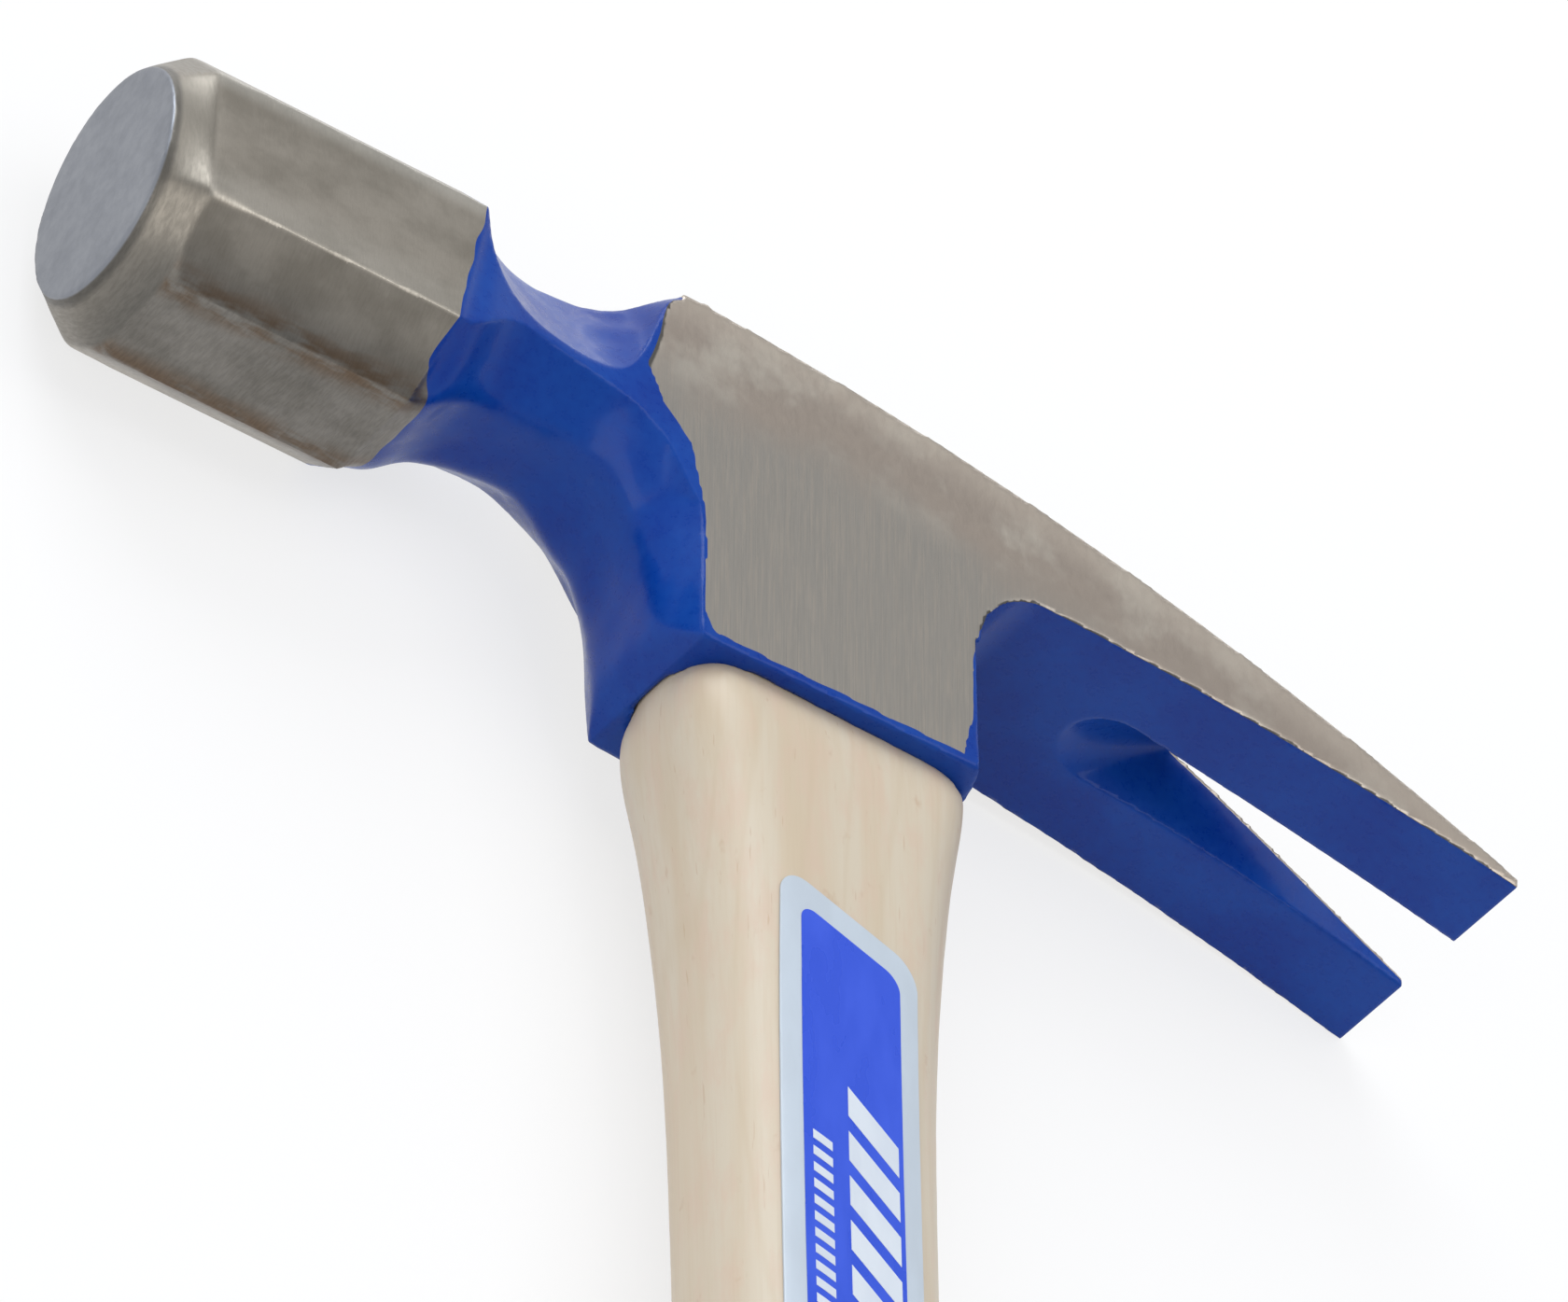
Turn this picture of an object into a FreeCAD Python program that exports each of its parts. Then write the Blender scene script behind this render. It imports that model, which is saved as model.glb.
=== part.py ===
"""Rip claw hammer: forged head, hickory handle, eye wedges and handle label.

The head frame has its origin where the handle axis meets the poll axis height:
X runs along the head, from the striking face at minus X to the claws at plus X,
Y runs along the handle towards the head, and Z goes across the head.
All lengths are in millimetres and all angles in degrees.
"""
import math
import os

import FreeCAD
import Part

# Driving dimensions
overall_length = 289.0
head_length = 123.6
overrun = 2.0
seat_clearance = 0.12

# Poll
face_centre_x = -62.4
face_centre_y = 7.4
poll_rise_deg = 3.0
face_diameter = 18.9
face_ring_depth = 3.4
face_ring_radius = 12.1
face_rim_land = 0.15
poll_height = 23.8
poll_width = 20.4
poll_flat_width = 9.5
poll_side_upper = 5.5
poll_side_lower = 7.0
poll_length = 26.8
poll_end_lean_deg = 12.0

# Neck
neck_end_x = -13.0
neck_axis_height = 5.5
waist_height = 14.5
waist_width = 15.8
# place along the neck, then top, bottom, side, upper corner, lower corner, top flat and bottom flat
neck_station_shares = (
    (0.080, 0.700, -0.700, 1.240, 0.120, -0.380, 0.620, 0.620),
    (0.180, 0.560, -0.560, 1.170, -0.040, -0.240, 0.600, 0.600),
    (0.300, 0.500, -0.505, 1.090, -0.120, -0.195, 0.520, 0.520),
    (0.430, 0.492, -0.495, 1.030, -0.150, -0.215, 0.480, 0.480),
    (0.560, 0.495, -0.495, 1.000, -0.160, -0.245, 0.470, 0.470),
    (0.670, 0.503, -0.590, 1.020, -0.120, -0.310, 0.520, 0.520),
    (0.780, 0.517, -0.790, 1.060, 0.220, -0.390, 0.700, 0.595),
    (0.890, 0.529, -0.940, 1.180, 0.440, -0.520, 1.063, 0.608),
    (1.000, 0.500, -1.070, 1.266, 0.520, -0.660, 1.240, 0.608),
)
neck_lean_shares = (0.80, 0.60, 0.35, 0.15, 0.0, 0.0, 0.0, 0.0, 0.0)

# Cheek and claws, seen from the side
cheek_top_x = -15.5
cheek_top_y = 13.3
claw_tip_y = -11.1
claw_tip_thickness = 0.8
crown_rise = 3.3
claw_root_x = 17.2
claw_root_y = -3.1
claw_belly_rise = 0.9
root_radius = 5.7

# Ground side planes
side_half_width = 9.0
side_flare_along_deg = 2.7
side_flare_up_deg = 2.29
grind_start_x = -18.9

# Eye boss under the cheek
boss_front_x = -15.2
boss_nose_half_width = 4.3
boss_flank_x = -13.4
boss_flank_z = 8.0
boss_rear_x = 12.6
boss_rear_flat_half_width = 3.3
boss_rear_corner = 2.2
boss_rear_bend_share = 0.25
boss_depth = 20.3
boss_base_rake_deg = 5.5
boss_toe_cut = 1.8
# depth down the boss, how far its front and flank run ahead, and the nose's width
boss_station_shares = (
    (-0.02, 0.33, 0.14, 0.80),
    (0.14, 0.25, 0.09, 0.86),
    (0.30, 0.14, 0.03, 0.94),
    (0.52, 0.05, 0.0, 1.0),
    (0.78, 0.01, 0.0, 1.0),
    (1.16, 0.0, 0.0, 1.0),
)

# Eye and tenon
eye_length = 26.0
eye_width = 13.0
eye_top_length = 23.6
eye_top_width = 11.2
eye_corner_share = 0.86

# Nail slot
slot_root_x = 29.8
slot_root_radius = 3.6
slot_top_root_x = 37.6
slot_top_root_radius = 0.4
slot_mouth_half_width = 3.3

# Handle
shoulder_drop = 3.0
handle_half_width = 13.3
handle_half_thickness = 7.5
# place from the collar to the butt, then half width, half thickness and how round the corners are
handle_station_shares = (
    (0.000, 0.930, 0.800, 0.46),
    (0.012, 0.968, 0.940, 0.64),
    (0.036, 0.938, 0.990, 0.86),
    (0.075, 0.865, 0.985, 1.0),
    (0.120, 0.795, 0.955, 1.0),
    (0.175, 0.765, 0.930, 1.0),
    (0.300, 0.755, 0.930, 1.0),
    (0.420, 0.795, 0.990, 1.0),
    (0.560, 0.890, 1.110, 1.0),
    (0.700, 0.970, 1.220, 1.0),
    (0.850, 1.010, 1.290, 1.0),
    (0.950, 1.100, 1.370, 1.0),
    (1.000, 1.080, 1.350, 1.0),
)
handle_corner_share = 0.88
butt_round = 3.0

# Wedges and their kerf
kerf_depth = 19.0
wood_wedge_thickness = 3.0
wood_wedge_tip_thickness = 0.7
wood_wedge_depth = 17.0
wood_wedge_side_gap = 0.6
steel_wedge_length = 8.0
steel_wedge_thickness = 2.0
steel_wedge_tip_thickness = 0.5
steel_wedge_depth = 11.0
steel_wedge_spacing = 11.0
tenon_recess = 0.5

# Label
label_top_y = -37.9
label_length = 62.0
label_width = 12.3
label_centre_x = -0.45
label_end_slant_deg = 21.6
label_corner = 1.5
label_thickness = 0.16
label_gap = 0.06


def vector(x, y, z):
    """Return a point or direction in the head frame."""
    return FreeCAD.Vector(x, y, z)


def slope(angle_deg):
    """Return the rise over run of an angle."""
    return math.tan(math.radians(angle_deg))


def closed_polygon(points):
    """Return a closed wire of straight edges through the points."""
    return Part.makePolygon(list(points) + [points[0]])


def claw_tip_x():
    """Return the place of the claw tips along the head."""
    return face_centre_x + head_length


def poll_axis_y(x):
    """Return the height of the poll axis at a place along the head."""
    return face_centre_y - slope(poll_rise_deg) * (x - face_centre_x)


def crown_middle():
    """Return the middle point of the arc that the crown of the head follows."""
    return arc_middle(cheek_top_x, cheek_top_y, claw_tip_x(), claw_tip_y, crown_rise)


def belly_middle():
    """Return the middle point of the arc that the belly of the claws follows."""
    return arc_middle(claw_root_x, claw_root_y, claw_tip_x(), belly_tip_y(), claw_belly_rise)


def belly_tip_y():
    """Return the height of the belly at the claw tip."""
    return claw_tip_y - claw_tip_thickness


def arc_middle(x_a, y_a, x_b, y_b, rise):
    """Return the middle point of the arc from a to b that rises above its chord."""
    chord = math.hypot(x_b - x_a, y_b - y_a)
    middle_x = (x_a + x_b) / 2
    middle_y = (y_a + y_b) / 2
    return middle_x - rise * (y_b - y_a) / chord, middle_y + rise * (x_b - x_a) / chord


def arc_height(x, x_a, y_a, x_b, y_b, rise):
    """Return the height at x of the arc from a to b that rises above its chord."""
    chord = math.hypot(x_b - x_a, y_b - y_a)
    radius = (chord * chord / 4 + rise * rise) / (2 * rise)
    middle_x, middle_y = arc_middle(x_a, y_a, x_b, y_b, rise)
    centre_x = middle_x + radius * (y_b - y_a) / chord
    centre_y = middle_y - radius * (x_b - x_a) / chord
    return centre_y + math.sqrt(radius * radius - (x - centre_x) * (x - centre_x))


def crown_height(x):
    """Return the height of the head's crown at a place along it."""
    return arc_height(x, cheek_top_x, cheek_top_y, claw_tip_x(), claw_tip_y, crown_rise)


def belly_height(x):
    """Return the height of the claws' belly at a place along them."""
    return arc_height(x, claw_root_x, claw_root_y, claw_tip_x(), belly_tip_y(), claw_belly_rise)


def boss_base_y(x):
    """Return the height of the boss's base, which rakes down towards the claws."""
    return -boss_depth - slope(boss_base_rake_deg) * x


def side_plane_z(x, y):
    """Return the half width of the head between its ground sides."""
    return side_half_width + slope(side_flare_along_deg) * x + slope(side_flare_up_deg) * y


def poll_corners(x, lean_deg):
    """Return the eight corners of the poll's section, leaning about its axis."""
    half_flat = poll_flat_width / 2
    half_height = poll_height / 2
    half_width = poll_width / 2
    outline = ((half_flat, half_height), (half_width, poll_side_upper),
               (half_width, -poll_side_lower), (half_flat, -half_height),
               (-half_flat, -half_height), (-half_width, -poll_side_lower),
               (-half_width, poll_side_upper), (-half_flat, half_height))
    return [vector(x + slope(lean_deg) * up, poll_axis_y(x + slope(lean_deg) * up) + up, z)
            for z, up in outline]


def poll():
    """Return the octagonal poll with the ring round its striking face."""
    face_centre = vector(face_centre_x, face_centre_y, 0)
    ring_back_x = face_centre_x + face_ring_depth
    ring_corners = poll_corners(ring_back_x, poll_rise_deg)
    end_corners = poll_corners(face_centre_x + poll_length, poll_end_lean_deg)
    upright = vector(math.sin(math.radians(poll_rise_deg)), math.cos(math.radians(poll_rise_deg)), 0)
    radius = face_diameter / 2

    def on_face(angle):
        return face_centre + upright * (radius * math.cos(angle)) + vector(0, 0, radius * math.sin(angle))

    ring_centre = vector(ring_back_x, poll_axis_y(ring_back_x), 0)
    angles = []
    for corner in ring_corners:
        offset = corner - ring_centre
        angles.append(math.atan2(offset.z, offset.dot(upright)))
    arcs = []
    for index, start in enumerate(angles):
        end = angles[(index + 1) % len(angles)]
        if end < start:
            end += 2 * math.pi
        arcs.append(Part.Arc(on_face(start), on_face((start + end) / 2), on_face(end)).toShape())
    ring = Part.makeLoft([Part.Wire(arcs), closed_polygon(ring_corners)], True, True)
    barrel = Part.makeLoft([closed_polygon(ring_corners), closed_polygon(end_corners)], True, True)
    return ring.fuse(barrel).common(ring_cone(face_centre))


def ring_cone(face_centre):
    """Return the cone that rounds off the corners round the striking face."""
    inward = vector(math.cos(math.radians(poll_rise_deg)), -math.sin(math.radians(poll_rise_deg)), 0)
    radius = face_diameter / 2 + face_rim_land
    flare = (face_ring_radius - radius) / face_ring_depth
    length = 2 * poll_length
    return Part.makeCone(radius, radius + flare * length, length, face_centre, inward)


def neck_section(along, shares, lean_share):
    """Return one octagon of the neck at a share of the way to the cheek."""
    top, bottom, side, upper, lower, top_flat, bottom_flat = shares
    half_width = waist_width / 2
    outline = ((top_flat, top), (side, upper), (side, lower), (bottom_flat, bottom),
               (-bottom_flat, bottom), (-side, lower), (-side, upper), (-top_flat, top))
    lean = slope(poll_end_lean_deg * lean_share)
    poll_end_x = face_centre_x + poll_length
    x = poll_end_x + (neck_end_x - poll_end_x) * along
    points = []
    for z_share, y_share in outline:
        rise = waist_height * y_share
        points.append(vector(x + lean * rise, neck_axis_height + rise, half_width * z_share))
    return closed_polygon(points)


def neck():
    """Return the concave octagonal neck from the poll into the cheek."""
    sections = [closed_polygon(poll_corners(face_centre_x + poll_length, poll_end_lean_deg))]
    for shares, lean_share in zip(neck_station_shares, neck_lean_shares):
        sections.append(neck_section(shares[0], shares[1:], lean_share))
    return Part.makeLoft(sections, True, False)


def blade():
    """Return the cheek's upper part and the claws as one slab across the head."""
    crown_x, crown_y = crown_middle()
    belly_x, belly_y = belly_middle()
    inner_y = claw_root_y - root_radius
    diagonal = root_radius * (1 - math.sqrt(0.5))
    cheek_top = vector(cheek_top_x, cheek_top_y, 0)
    tip_top = vector(claw_tip_x(), claw_tip_y, 0)
    tip_belly = vector(claw_tip_x(), belly_tip_y(), 0)
    root = vector(claw_root_x, claw_root_y, 0)
    corner_start = vector(claw_root_x - root_radius, inner_y, 0)
    corner_middle = vector(claw_root_x - root_radius + diagonal, claw_root_y - diagonal, 0)
    inner_rear = vector(0, inner_y, 0)
    inner_front = vector(cheek_top_x, -claw_tip_thickness, 0)
    edges = [
        Part.Arc(cheek_top, vector(crown_x, crown_y, 0), tip_top).toShape(),
        Part.makeLine(tip_top, tip_belly),
        Part.Arc(tip_belly, vector(belly_x, belly_y, 0), root).toShape(),
        Part.Arc(root, corner_middle, corner_start).toShape(),
        Part.makeLine(corner_start, inner_rear),
        Part.makeLine(inner_rear, inner_front),
        Part.makeLine(inner_front, cheek_top),
    ]
    half_width = side_plane_z(claw_tip_x(), claw_tip_y) + overrun
    slab = Part.Face(Part.Wire(edges)).extrude(vector(0, 0, 2 * half_width))
    slab.translate(vector(0, 0, -half_width))
    return slab


def boss_section(depth_share, front_share, flank_share, nose_share):
    """Return one level outline of the eye boss."""
    y = -boss_depth * depth_share
    front_x = boss_front_x - boss_depth * front_share
    flank_x = boss_flank_x - boss_depth * flank_share
    nose_z = boss_nose_half_width * nose_share
    outer_z = boss_flank_z + overrun
    outer_x = flank_x + (flank_x - front_x) * overrun / (boss_flank_z - nose_z)
    corner_x = boss_rear_x - boss_rear_corner
    bend_x = boss_rear_x - boss_rear_corner * boss_rear_bend_share
    bend_z = (boss_rear_flat_half_width + outer_z) / 2

    def side(sign):
        return [Part.makeLine(vector(front_x, y, sign * nose_z),
                              vector(outer_x, y, sign * outer_z)),
                Part.makeLine(vector(outer_x, y, sign * outer_z), vector(corner_x, y, sign * outer_z)),
                Part.Arc(vector(corner_x, y, sign * outer_z), vector(bend_x, y, sign * bend_z),
                         vector(boss_rear_x, y, sign * boss_rear_flat_half_width)).toShape()]

    rear = Part.makeLine(vector(boss_rear_x, y, boss_rear_flat_half_width),
                         vector(boss_rear_x, y, -boss_rear_flat_half_width))
    front = Part.makeLine(vector(front_x, y, -nose_z), vector(front_x, y, nose_z))
    return Part.Wire(Part.__sortEdges__(side(1) + [rear] + side(-1) + [front]))


def boss():
    """Return the eye boss, with its raked base."""
    sections = [boss_section(*shares) for shares in boss_station_shares]
    body = Part.makeLoft(sections, True, False)
    reach = poll_height * 2
    toe_top_y = boss_base_y(boss_front_x) + boss_toe_cut
    toe_rear_x = boss_front_x + boss_toe_cut
    below = closed_polygon([
        vector(boss_front_x - reach, toe_top_y + reach, -reach),
        vector(boss_front_x, toe_top_y, -reach),
        vector(toe_rear_x, boss_base_y(toe_rear_x), -reach),
        vector(reach, boss_base_y(reach), -reach),
        vector(reach, -2 * reach, -reach),
        vector(boss_front_x - reach, -2 * reach, -reach)])
    return body.cut(Part.Face(below).extrude(vector(0, 0, 2 * reach)))


def side_cutter(sign):
    """Return the block beyond one ground side of the head."""
    far_x = claw_tip_x() + overrun
    low_y = boss_base_y(far_x) - overrun
    high_y = poll_axis_y(face_centre_x) + poll_height
    reach = poll_width
    corners = [(grind_start_x, low_y), (far_x, low_y), (far_x, high_y), (grind_start_x, high_y)]
    near = closed_polygon([vector(x, y, sign * side_plane_z(x, y)) for x, y in corners])
    far = closed_polygon([vector(x, y, sign * (side_plane_z(x, y) + reach)) for x, y in corners])
    return Part.makeLoft([near, far], True, True)


def rounded_rectangle(y, half_x, half_z, corner):
    """Return a level rounded rectangle round the handle axis."""
    inner_x = half_x - corner
    inner_z = half_z - corner
    bend = corner * math.sqrt(0.5)
    edges = []
    quadrants = ((1, 1), (-1, 1), (-1, -1), (1, -1))
    for index, (sx, sz) in enumerate(quadrants):
        next_x, next_z = quadrants[(index + 1) % len(quadrants)]
        side_point = vector(sx * half_x, y, sz * inner_z)
        end_point = vector(sx * inner_x, y, sz * half_z)
        middle = vector(sx * (inner_x + bend), y, sz * (inner_z + bend))
        start, stop = (side_point, end_point) if sx == sz else (end_point, side_point)
        edges.append(Part.Arc(start, middle, stop).toShape())
        if next_z == sz:
            following = vector(next_x * inner_x, y, next_z * half_z)
        else:
            following = vector(next_x * half_x, y, next_z * inner_z)
        edges.append(Part.makeLine(stop, following))
    return Part.Wire(edges)


def eye_fill(gap, low_y, high_y):
    """Return the tapered body that fills the eye, drawn in by a gap."""
    base_y = boss_base_y(0)
    top_y = crown_height(0)
    sections = []
    for y in (low_y, high_y):
        share = (y - base_y) / (top_y - base_y)
        half_x = (eye_length + (eye_top_length - eye_length) * share) / 2 - gap
        half_z = (eye_width + (eye_top_width - eye_width) * share) / 2 - gap
        sections.append(rounded_rectangle(y, half_x, half_z, half_z * eye_corner_share))
    return Part.makeLoft(sections, True, True)


def slot_cutter():
    """Return the bevelled body that opens the nail slot between the claws."""
    mouth_x = claw_tip_x() + overrun
    belly_y = belly_height(slot_root_x)
    crown_y = crown_height(slot_root_x)
    run_out = overrun / (crown_y - belly_y)

    def outline(root_y, mouth_y, centre_x, radius):
        fall = (mouth_y - root_y) / (mouth_x - slot_root_x)
        places = ((centre_x, -radius), (centre_x - radius, 0), (centre_x, radius),
                  (mouth_x, slot_mouth_half_width), (mouth_x, -slot_mouth_half_width))
        right, tip, left, mouth_left, mouth_right = [
            vector(x, root_y + fall * (x - slot_root_x), z) for x, z in places]
        return Part.Wire([Part.Arc(right, tip, left).toShape(), Part.makeLine(left, mouth_left),
                          Part.makeLine(mouth_left, mouth_right), Part.makeLine(mouth_right, right)])

    shift_x = run_out * (slot_top_root_x - slot_root_x)
    growth = run_out * (slot_root_radius - slot_top_root_radius)
    lower = outline(belly_y - overrun, belly_tip_y() - overrun,
                    slot_root_x - shift_x, slot_root_radius + growth)
    upper = outline(crown_y + overrun, claw_tip_y + overrun,
                    slot_top_root_x + shift_x, slot_top_root_radius)
    return Part.makeLoft([lower, upper], True, True)


def hammer_head():
    """Return the forged head with ground sides, eye and nail slot."""
    body = blade().fuse([boss(), neck()])
    body = body.cut([side_cutter(1), side_cutter(-1)])
    body = body.fuse(poll())
    eye = eye_fill(0, boss_base_y(boss_rear_x) - overrun, crown_height(cheek_top_x) + overrun)
    body = body.cut([eye, slot_cutter()])
    return body.removeSplitter()


def handle_section(place, width_share, thickness_share, round_share, extra):
    """Return one level outline of the handle, grown by an extra thickness."""
    y = handle_top_y() - handle_length() * place
    half_x = handle_half_width * width_share + extra
    half_z = handle_half_thickness * thickness_share + extra
    return rounded_rectangle(y, half_x, half_z, half_z * handle_corner_share * round_share)


def handle_top_y():
    """Return the height of the handle's shoulder at its higher edge, under the boss."""
    return boss_base_y(-handle_half_width)


def handle_length():
    """Return the length of the handle below the boss."""
    return overall_length - (poll_axis_y(face_centre_x) + poll_height / 2) + handle_top_y()


def handle_body(extra):
    """Return the handle below the boss, grown by an extra thickness."""
    sections = [handle_section(*shares, extra) for shares in handle_station_shares]
    return Part.makeLoft(sections, True, False)


def above_line(x_a, y_a, x_b, y_b):
    """Return the block above the line through two points, as wide as the whole head and more."""
    reach = eye_length
    rise = (y_b - y_a) / (x_b - x_a)
    corners = [(x_a - reach, y_a - rise * reach), (x_b + reach, y_b + rise * reach)]
    top_y = max(y for x, y in corners) + reach
    points = [vector(x, y, -poll_height) for x, y in corners]
    points += [vector(corners[1][0], top_y, -poll_height), vector(corners[0][0], top_y, -poll_height)]
    return Part.Face(closed_polygon(points)).extrude(vector(0, 0, 2 * poll_height))


def above_tenon():
    """Return the block above the tenon's end, which follows the crown."""
    half = eye_top_length / 2
    return above_line(-half, crown_height(-half) - tenon_recess, half, crown_height(half) - tenon_recess)


def above_shoulder():
    """Return the block above the handle's shoulder, which follows the boss's base."""
    half = handle_half_width
    return above_line(-half, boss_base_y(-half) - seat_clearance, half, boss_base_y(half) - seat_clearance)


def wedge_top_y():
    """Return a height that clears the tenon's end."""
    return crown_height(-eye_top_length / 2)


def kerf_tool(top_width, tip_width, depth, half_x):
    """Return a body along the eye that narrows downward from the tenon's end."""
    top_y = wedge_top_y()
    tip_y = crown_height(0) - tenon_recess - depth
    spread = (top_width - tip_width) / 2 * (top_y - tip_y) / depth
    half_tip = tip_width / 2
    points = [vector(-half_x, top_y, -half_tip - spread), vector(-half_x, top_y, half_tip + spread),
              vector(-half_x, tip_y, half_tip), vector(-half_x, tip_y, -half_tip)]
    return Part.Face(closed_polygon(points)).extrude(vector(2 * half_x, 0, 0))


def steel_wedge_tool(centre_x, gap):
    """Return one steel wedge across the eye, grown by a gap."""
    top_y = wedge_top_y()
    tip_y = crown_height(centre_x) - tenon_recess - steel_wedge_depth - gap
    spread = (steel_wedge_thickness - steel_wedge_tip_thickness) / 2 * (top_y - tip_y) / steel_wedge_depth
    half_tip = steel_wedge_tip_thickness / 2 + gap
    half_length = steel_wedge_length / 2 + gap
    points = [vector(centre_x - half_tip - spread, top_y, -half_length),
              vector(centre_x + half_tip + spread, top_y, -half_length),
              vector(centre_x + half_tip, tip_y, -half_length),
              vector(centre_x - half_tip, tip_y, -half_length)]
    return Part.Face(closed_polygon(points)).extrude(vector(0, 0, 2 * half_length))


def steel_wedge_places():
    """Return the places of the two steel wedges along the head."""
    return (-steel_wedge_spacing / 2, steel_wedge_spacing / 2)


def steel_wedge(centre_x):
    """Return one steel wedge, flush with the tenon's end."""
    return steel_wedge_tool(centre_x, 0).cut(above_tenon())


def steel_wedge_slots():
    """Return the places that the steel wedges need in the wood."""
    return [steel_wedge_tool(x, seat_clearance) for x in steel_wedge_places()]


def eye_wedge():
    """Return the wooden wedge that spreads the tenon."""
    half_x = eye_top_length / 2 - wood_wedge_side_gap
    body = kerf_tool(wood_wedge_thickness, wood_wedge_tip_thickness, wood_wedge_depth, half_x)
    return body.cut([above_tenon()] + steel_wedge_slots())


def handle():
    """Return the handle with its tenon, saw kerf and wedge slots."""
    shoulder = handle_body(0).cut(above_shoulder())
    tenon = eye_fill(seat_clearance, handle_top_y() - shoulder_drop, wedge_top_y())
    kerf_half_x = eye_length
    wedge_space = kerf_tool(wood_wedge_thickness + 2 * seat_clearance,
                            wood_wedge_tip_thickness + 2 * seat_clearance, kerf_depth, kerf_half_x)
    body = shoulder.fuse(tenon)
    body = body.cut([above_tenon(), wedge_space] + steel_wedge_slots())
    body = body.removeSplitter()
    butt_y = handle_top_y() - handle_length()
    rim = [edge for edge in body.Edges if abs(edge.BoundBox.YMax - butt_y) < seat_clearance]
    return body.makeFillet(butt_round, rim)


def label():
    """Return the thin label on the handle's upper side, with slanted ends and rounded corners."""
    band = handle_body(label_gap + label_thickness).cut(handle_body(label_gap))
    left_x = label_centre_x - label_width / 2
    right_x = label_centre_x + label_width / 2
    low_y = label_top_y - label_length
    fall = slope(label_end_slant_deg) * label_width
    outline = closed_polygon([
        vector(left_x, low_y, 0), vector(right_x, low_y - fall, 0),
        vector(right_x, label_top_y - fall, 0), vector(left_x, label_top_y, 0)])
    prism = Part.Face(outline).extrude(vector(0, 0, poll_width))
    corners = [edge for edge in prism.Edges if edge.BoundBox.ZLength > poll_width / 2]
    return band.common(prism.makeFillet(label_corner, corners))


def main():
    """Build every piece, place the whole and write one file for each node."""
    os.makedirs("parts", exist_ok=True)
    front_x, rear_x = steel_wedge_places()
    pieces = {
        "hammer_head": hammer_head(),
        "handle": handle(),
        "eye_wedge": eye_wedge(),
        "front_steel_wedge": steel_wedge(front_x),
        "rear_steel_wedge": steel_wedge(rear_x),
        "handle_label": label(),
    }
    box = Part.makeCompound(list(pieces.values())).optimalBoundingBox(False, False)
    shift = vector(-(box.XMin + box.XMax) / 2, -(box.YMin + box.YMax) / 2, -box.ZMin)
    for name, shape in pieces.items():
        shape.translate(shift)
        shape.exportStep("parts/" + name + ".step")


main()
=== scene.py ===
"""Rip claw hammer: enamelled and ground forged head, hickory handle, wedges and label."""
import logging
import math
from dataclasses import dataclass
from enum import Enum
from functools import cached_property

import bmesh
import bpy
import numpy as np
from bpy.types import Material, Mesh, NodeSocket, Object
from mathutils import Matrix, Vector, noise
from mathutils.bvhtree import BVHTree
from mathutils.kdtree import KDTree


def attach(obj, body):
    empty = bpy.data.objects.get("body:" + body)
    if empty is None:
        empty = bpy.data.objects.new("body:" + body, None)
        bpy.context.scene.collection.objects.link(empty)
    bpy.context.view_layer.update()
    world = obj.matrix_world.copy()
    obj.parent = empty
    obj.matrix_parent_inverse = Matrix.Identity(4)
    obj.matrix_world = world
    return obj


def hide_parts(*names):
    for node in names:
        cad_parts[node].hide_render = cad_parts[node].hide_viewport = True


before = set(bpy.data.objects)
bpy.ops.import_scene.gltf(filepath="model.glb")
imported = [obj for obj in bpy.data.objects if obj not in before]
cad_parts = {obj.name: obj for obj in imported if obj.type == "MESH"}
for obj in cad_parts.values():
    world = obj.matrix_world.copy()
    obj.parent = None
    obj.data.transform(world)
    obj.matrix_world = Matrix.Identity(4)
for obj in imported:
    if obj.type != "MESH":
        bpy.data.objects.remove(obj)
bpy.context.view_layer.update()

LOG = logging.getLogger("hammer")
MM = 0.001
BODY = "root"
# Where the handle axis meets the poll axis height on the head's middle plane, in the row frame
HEAD_ORIGIN = Vector((0.847273, 125.305435, 11.442237)) * MM
ORIGIN_ROW = np.array(HEAD_ORIGIN)
# A solid's vertices that lie closer than this are one
WELD = 0.002 * MM
# A ray that looks for a surface starts this far above it and goes straight down
RAY_START = Vector((0.0, 0.0, 20 * MM))
RAY_WAY = Vector((0.0, 0.0, -1.0))
RAY_LENGTH = 60 * MM
# How far a vertex moves towards the mean of its neighbours in one pass of smoothing
SMOOTH_STEP = 0.5
# The way that the handle's fibres run
FIBRE_WAY = (0.0, 1.0, 0.0)


class Slot(Enum):
    """The record's material slots that pieces of the scene take."""

    BLUE_ENAMEL = "blue_enamel"
    GROUND_STEEL = "ground_steel"
    HICKORY = "hickory"
    LABEL_FILM = "label_film"


class Node(Enum):
    """The solids of the frame."""

    HEAD = "hammer_head"
    HANDLE = "handle"
    EYE_WEDGE = "eye_wedge"
    FRONT_WEDGE = "front_steel_wedge"
    REAR_WEDGE = "rear_steel_wedge"
    LABEL = "handle_label"


def slope(angle_deg: float) -> float:
    """Return the rise over run of an angle in degrees."""
    return math.tan(math.radians(angle_deg))


def smooth_step(value: np.ndarray, low: float, high: float) -> np.ndarray:
    """Return a soft step from 0 at low to 1 at high."""
    share = np.clip((value - low) / (high - low), 0.0, 1.0)
    return share * share * (3.0 - 2.0 * share)


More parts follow.
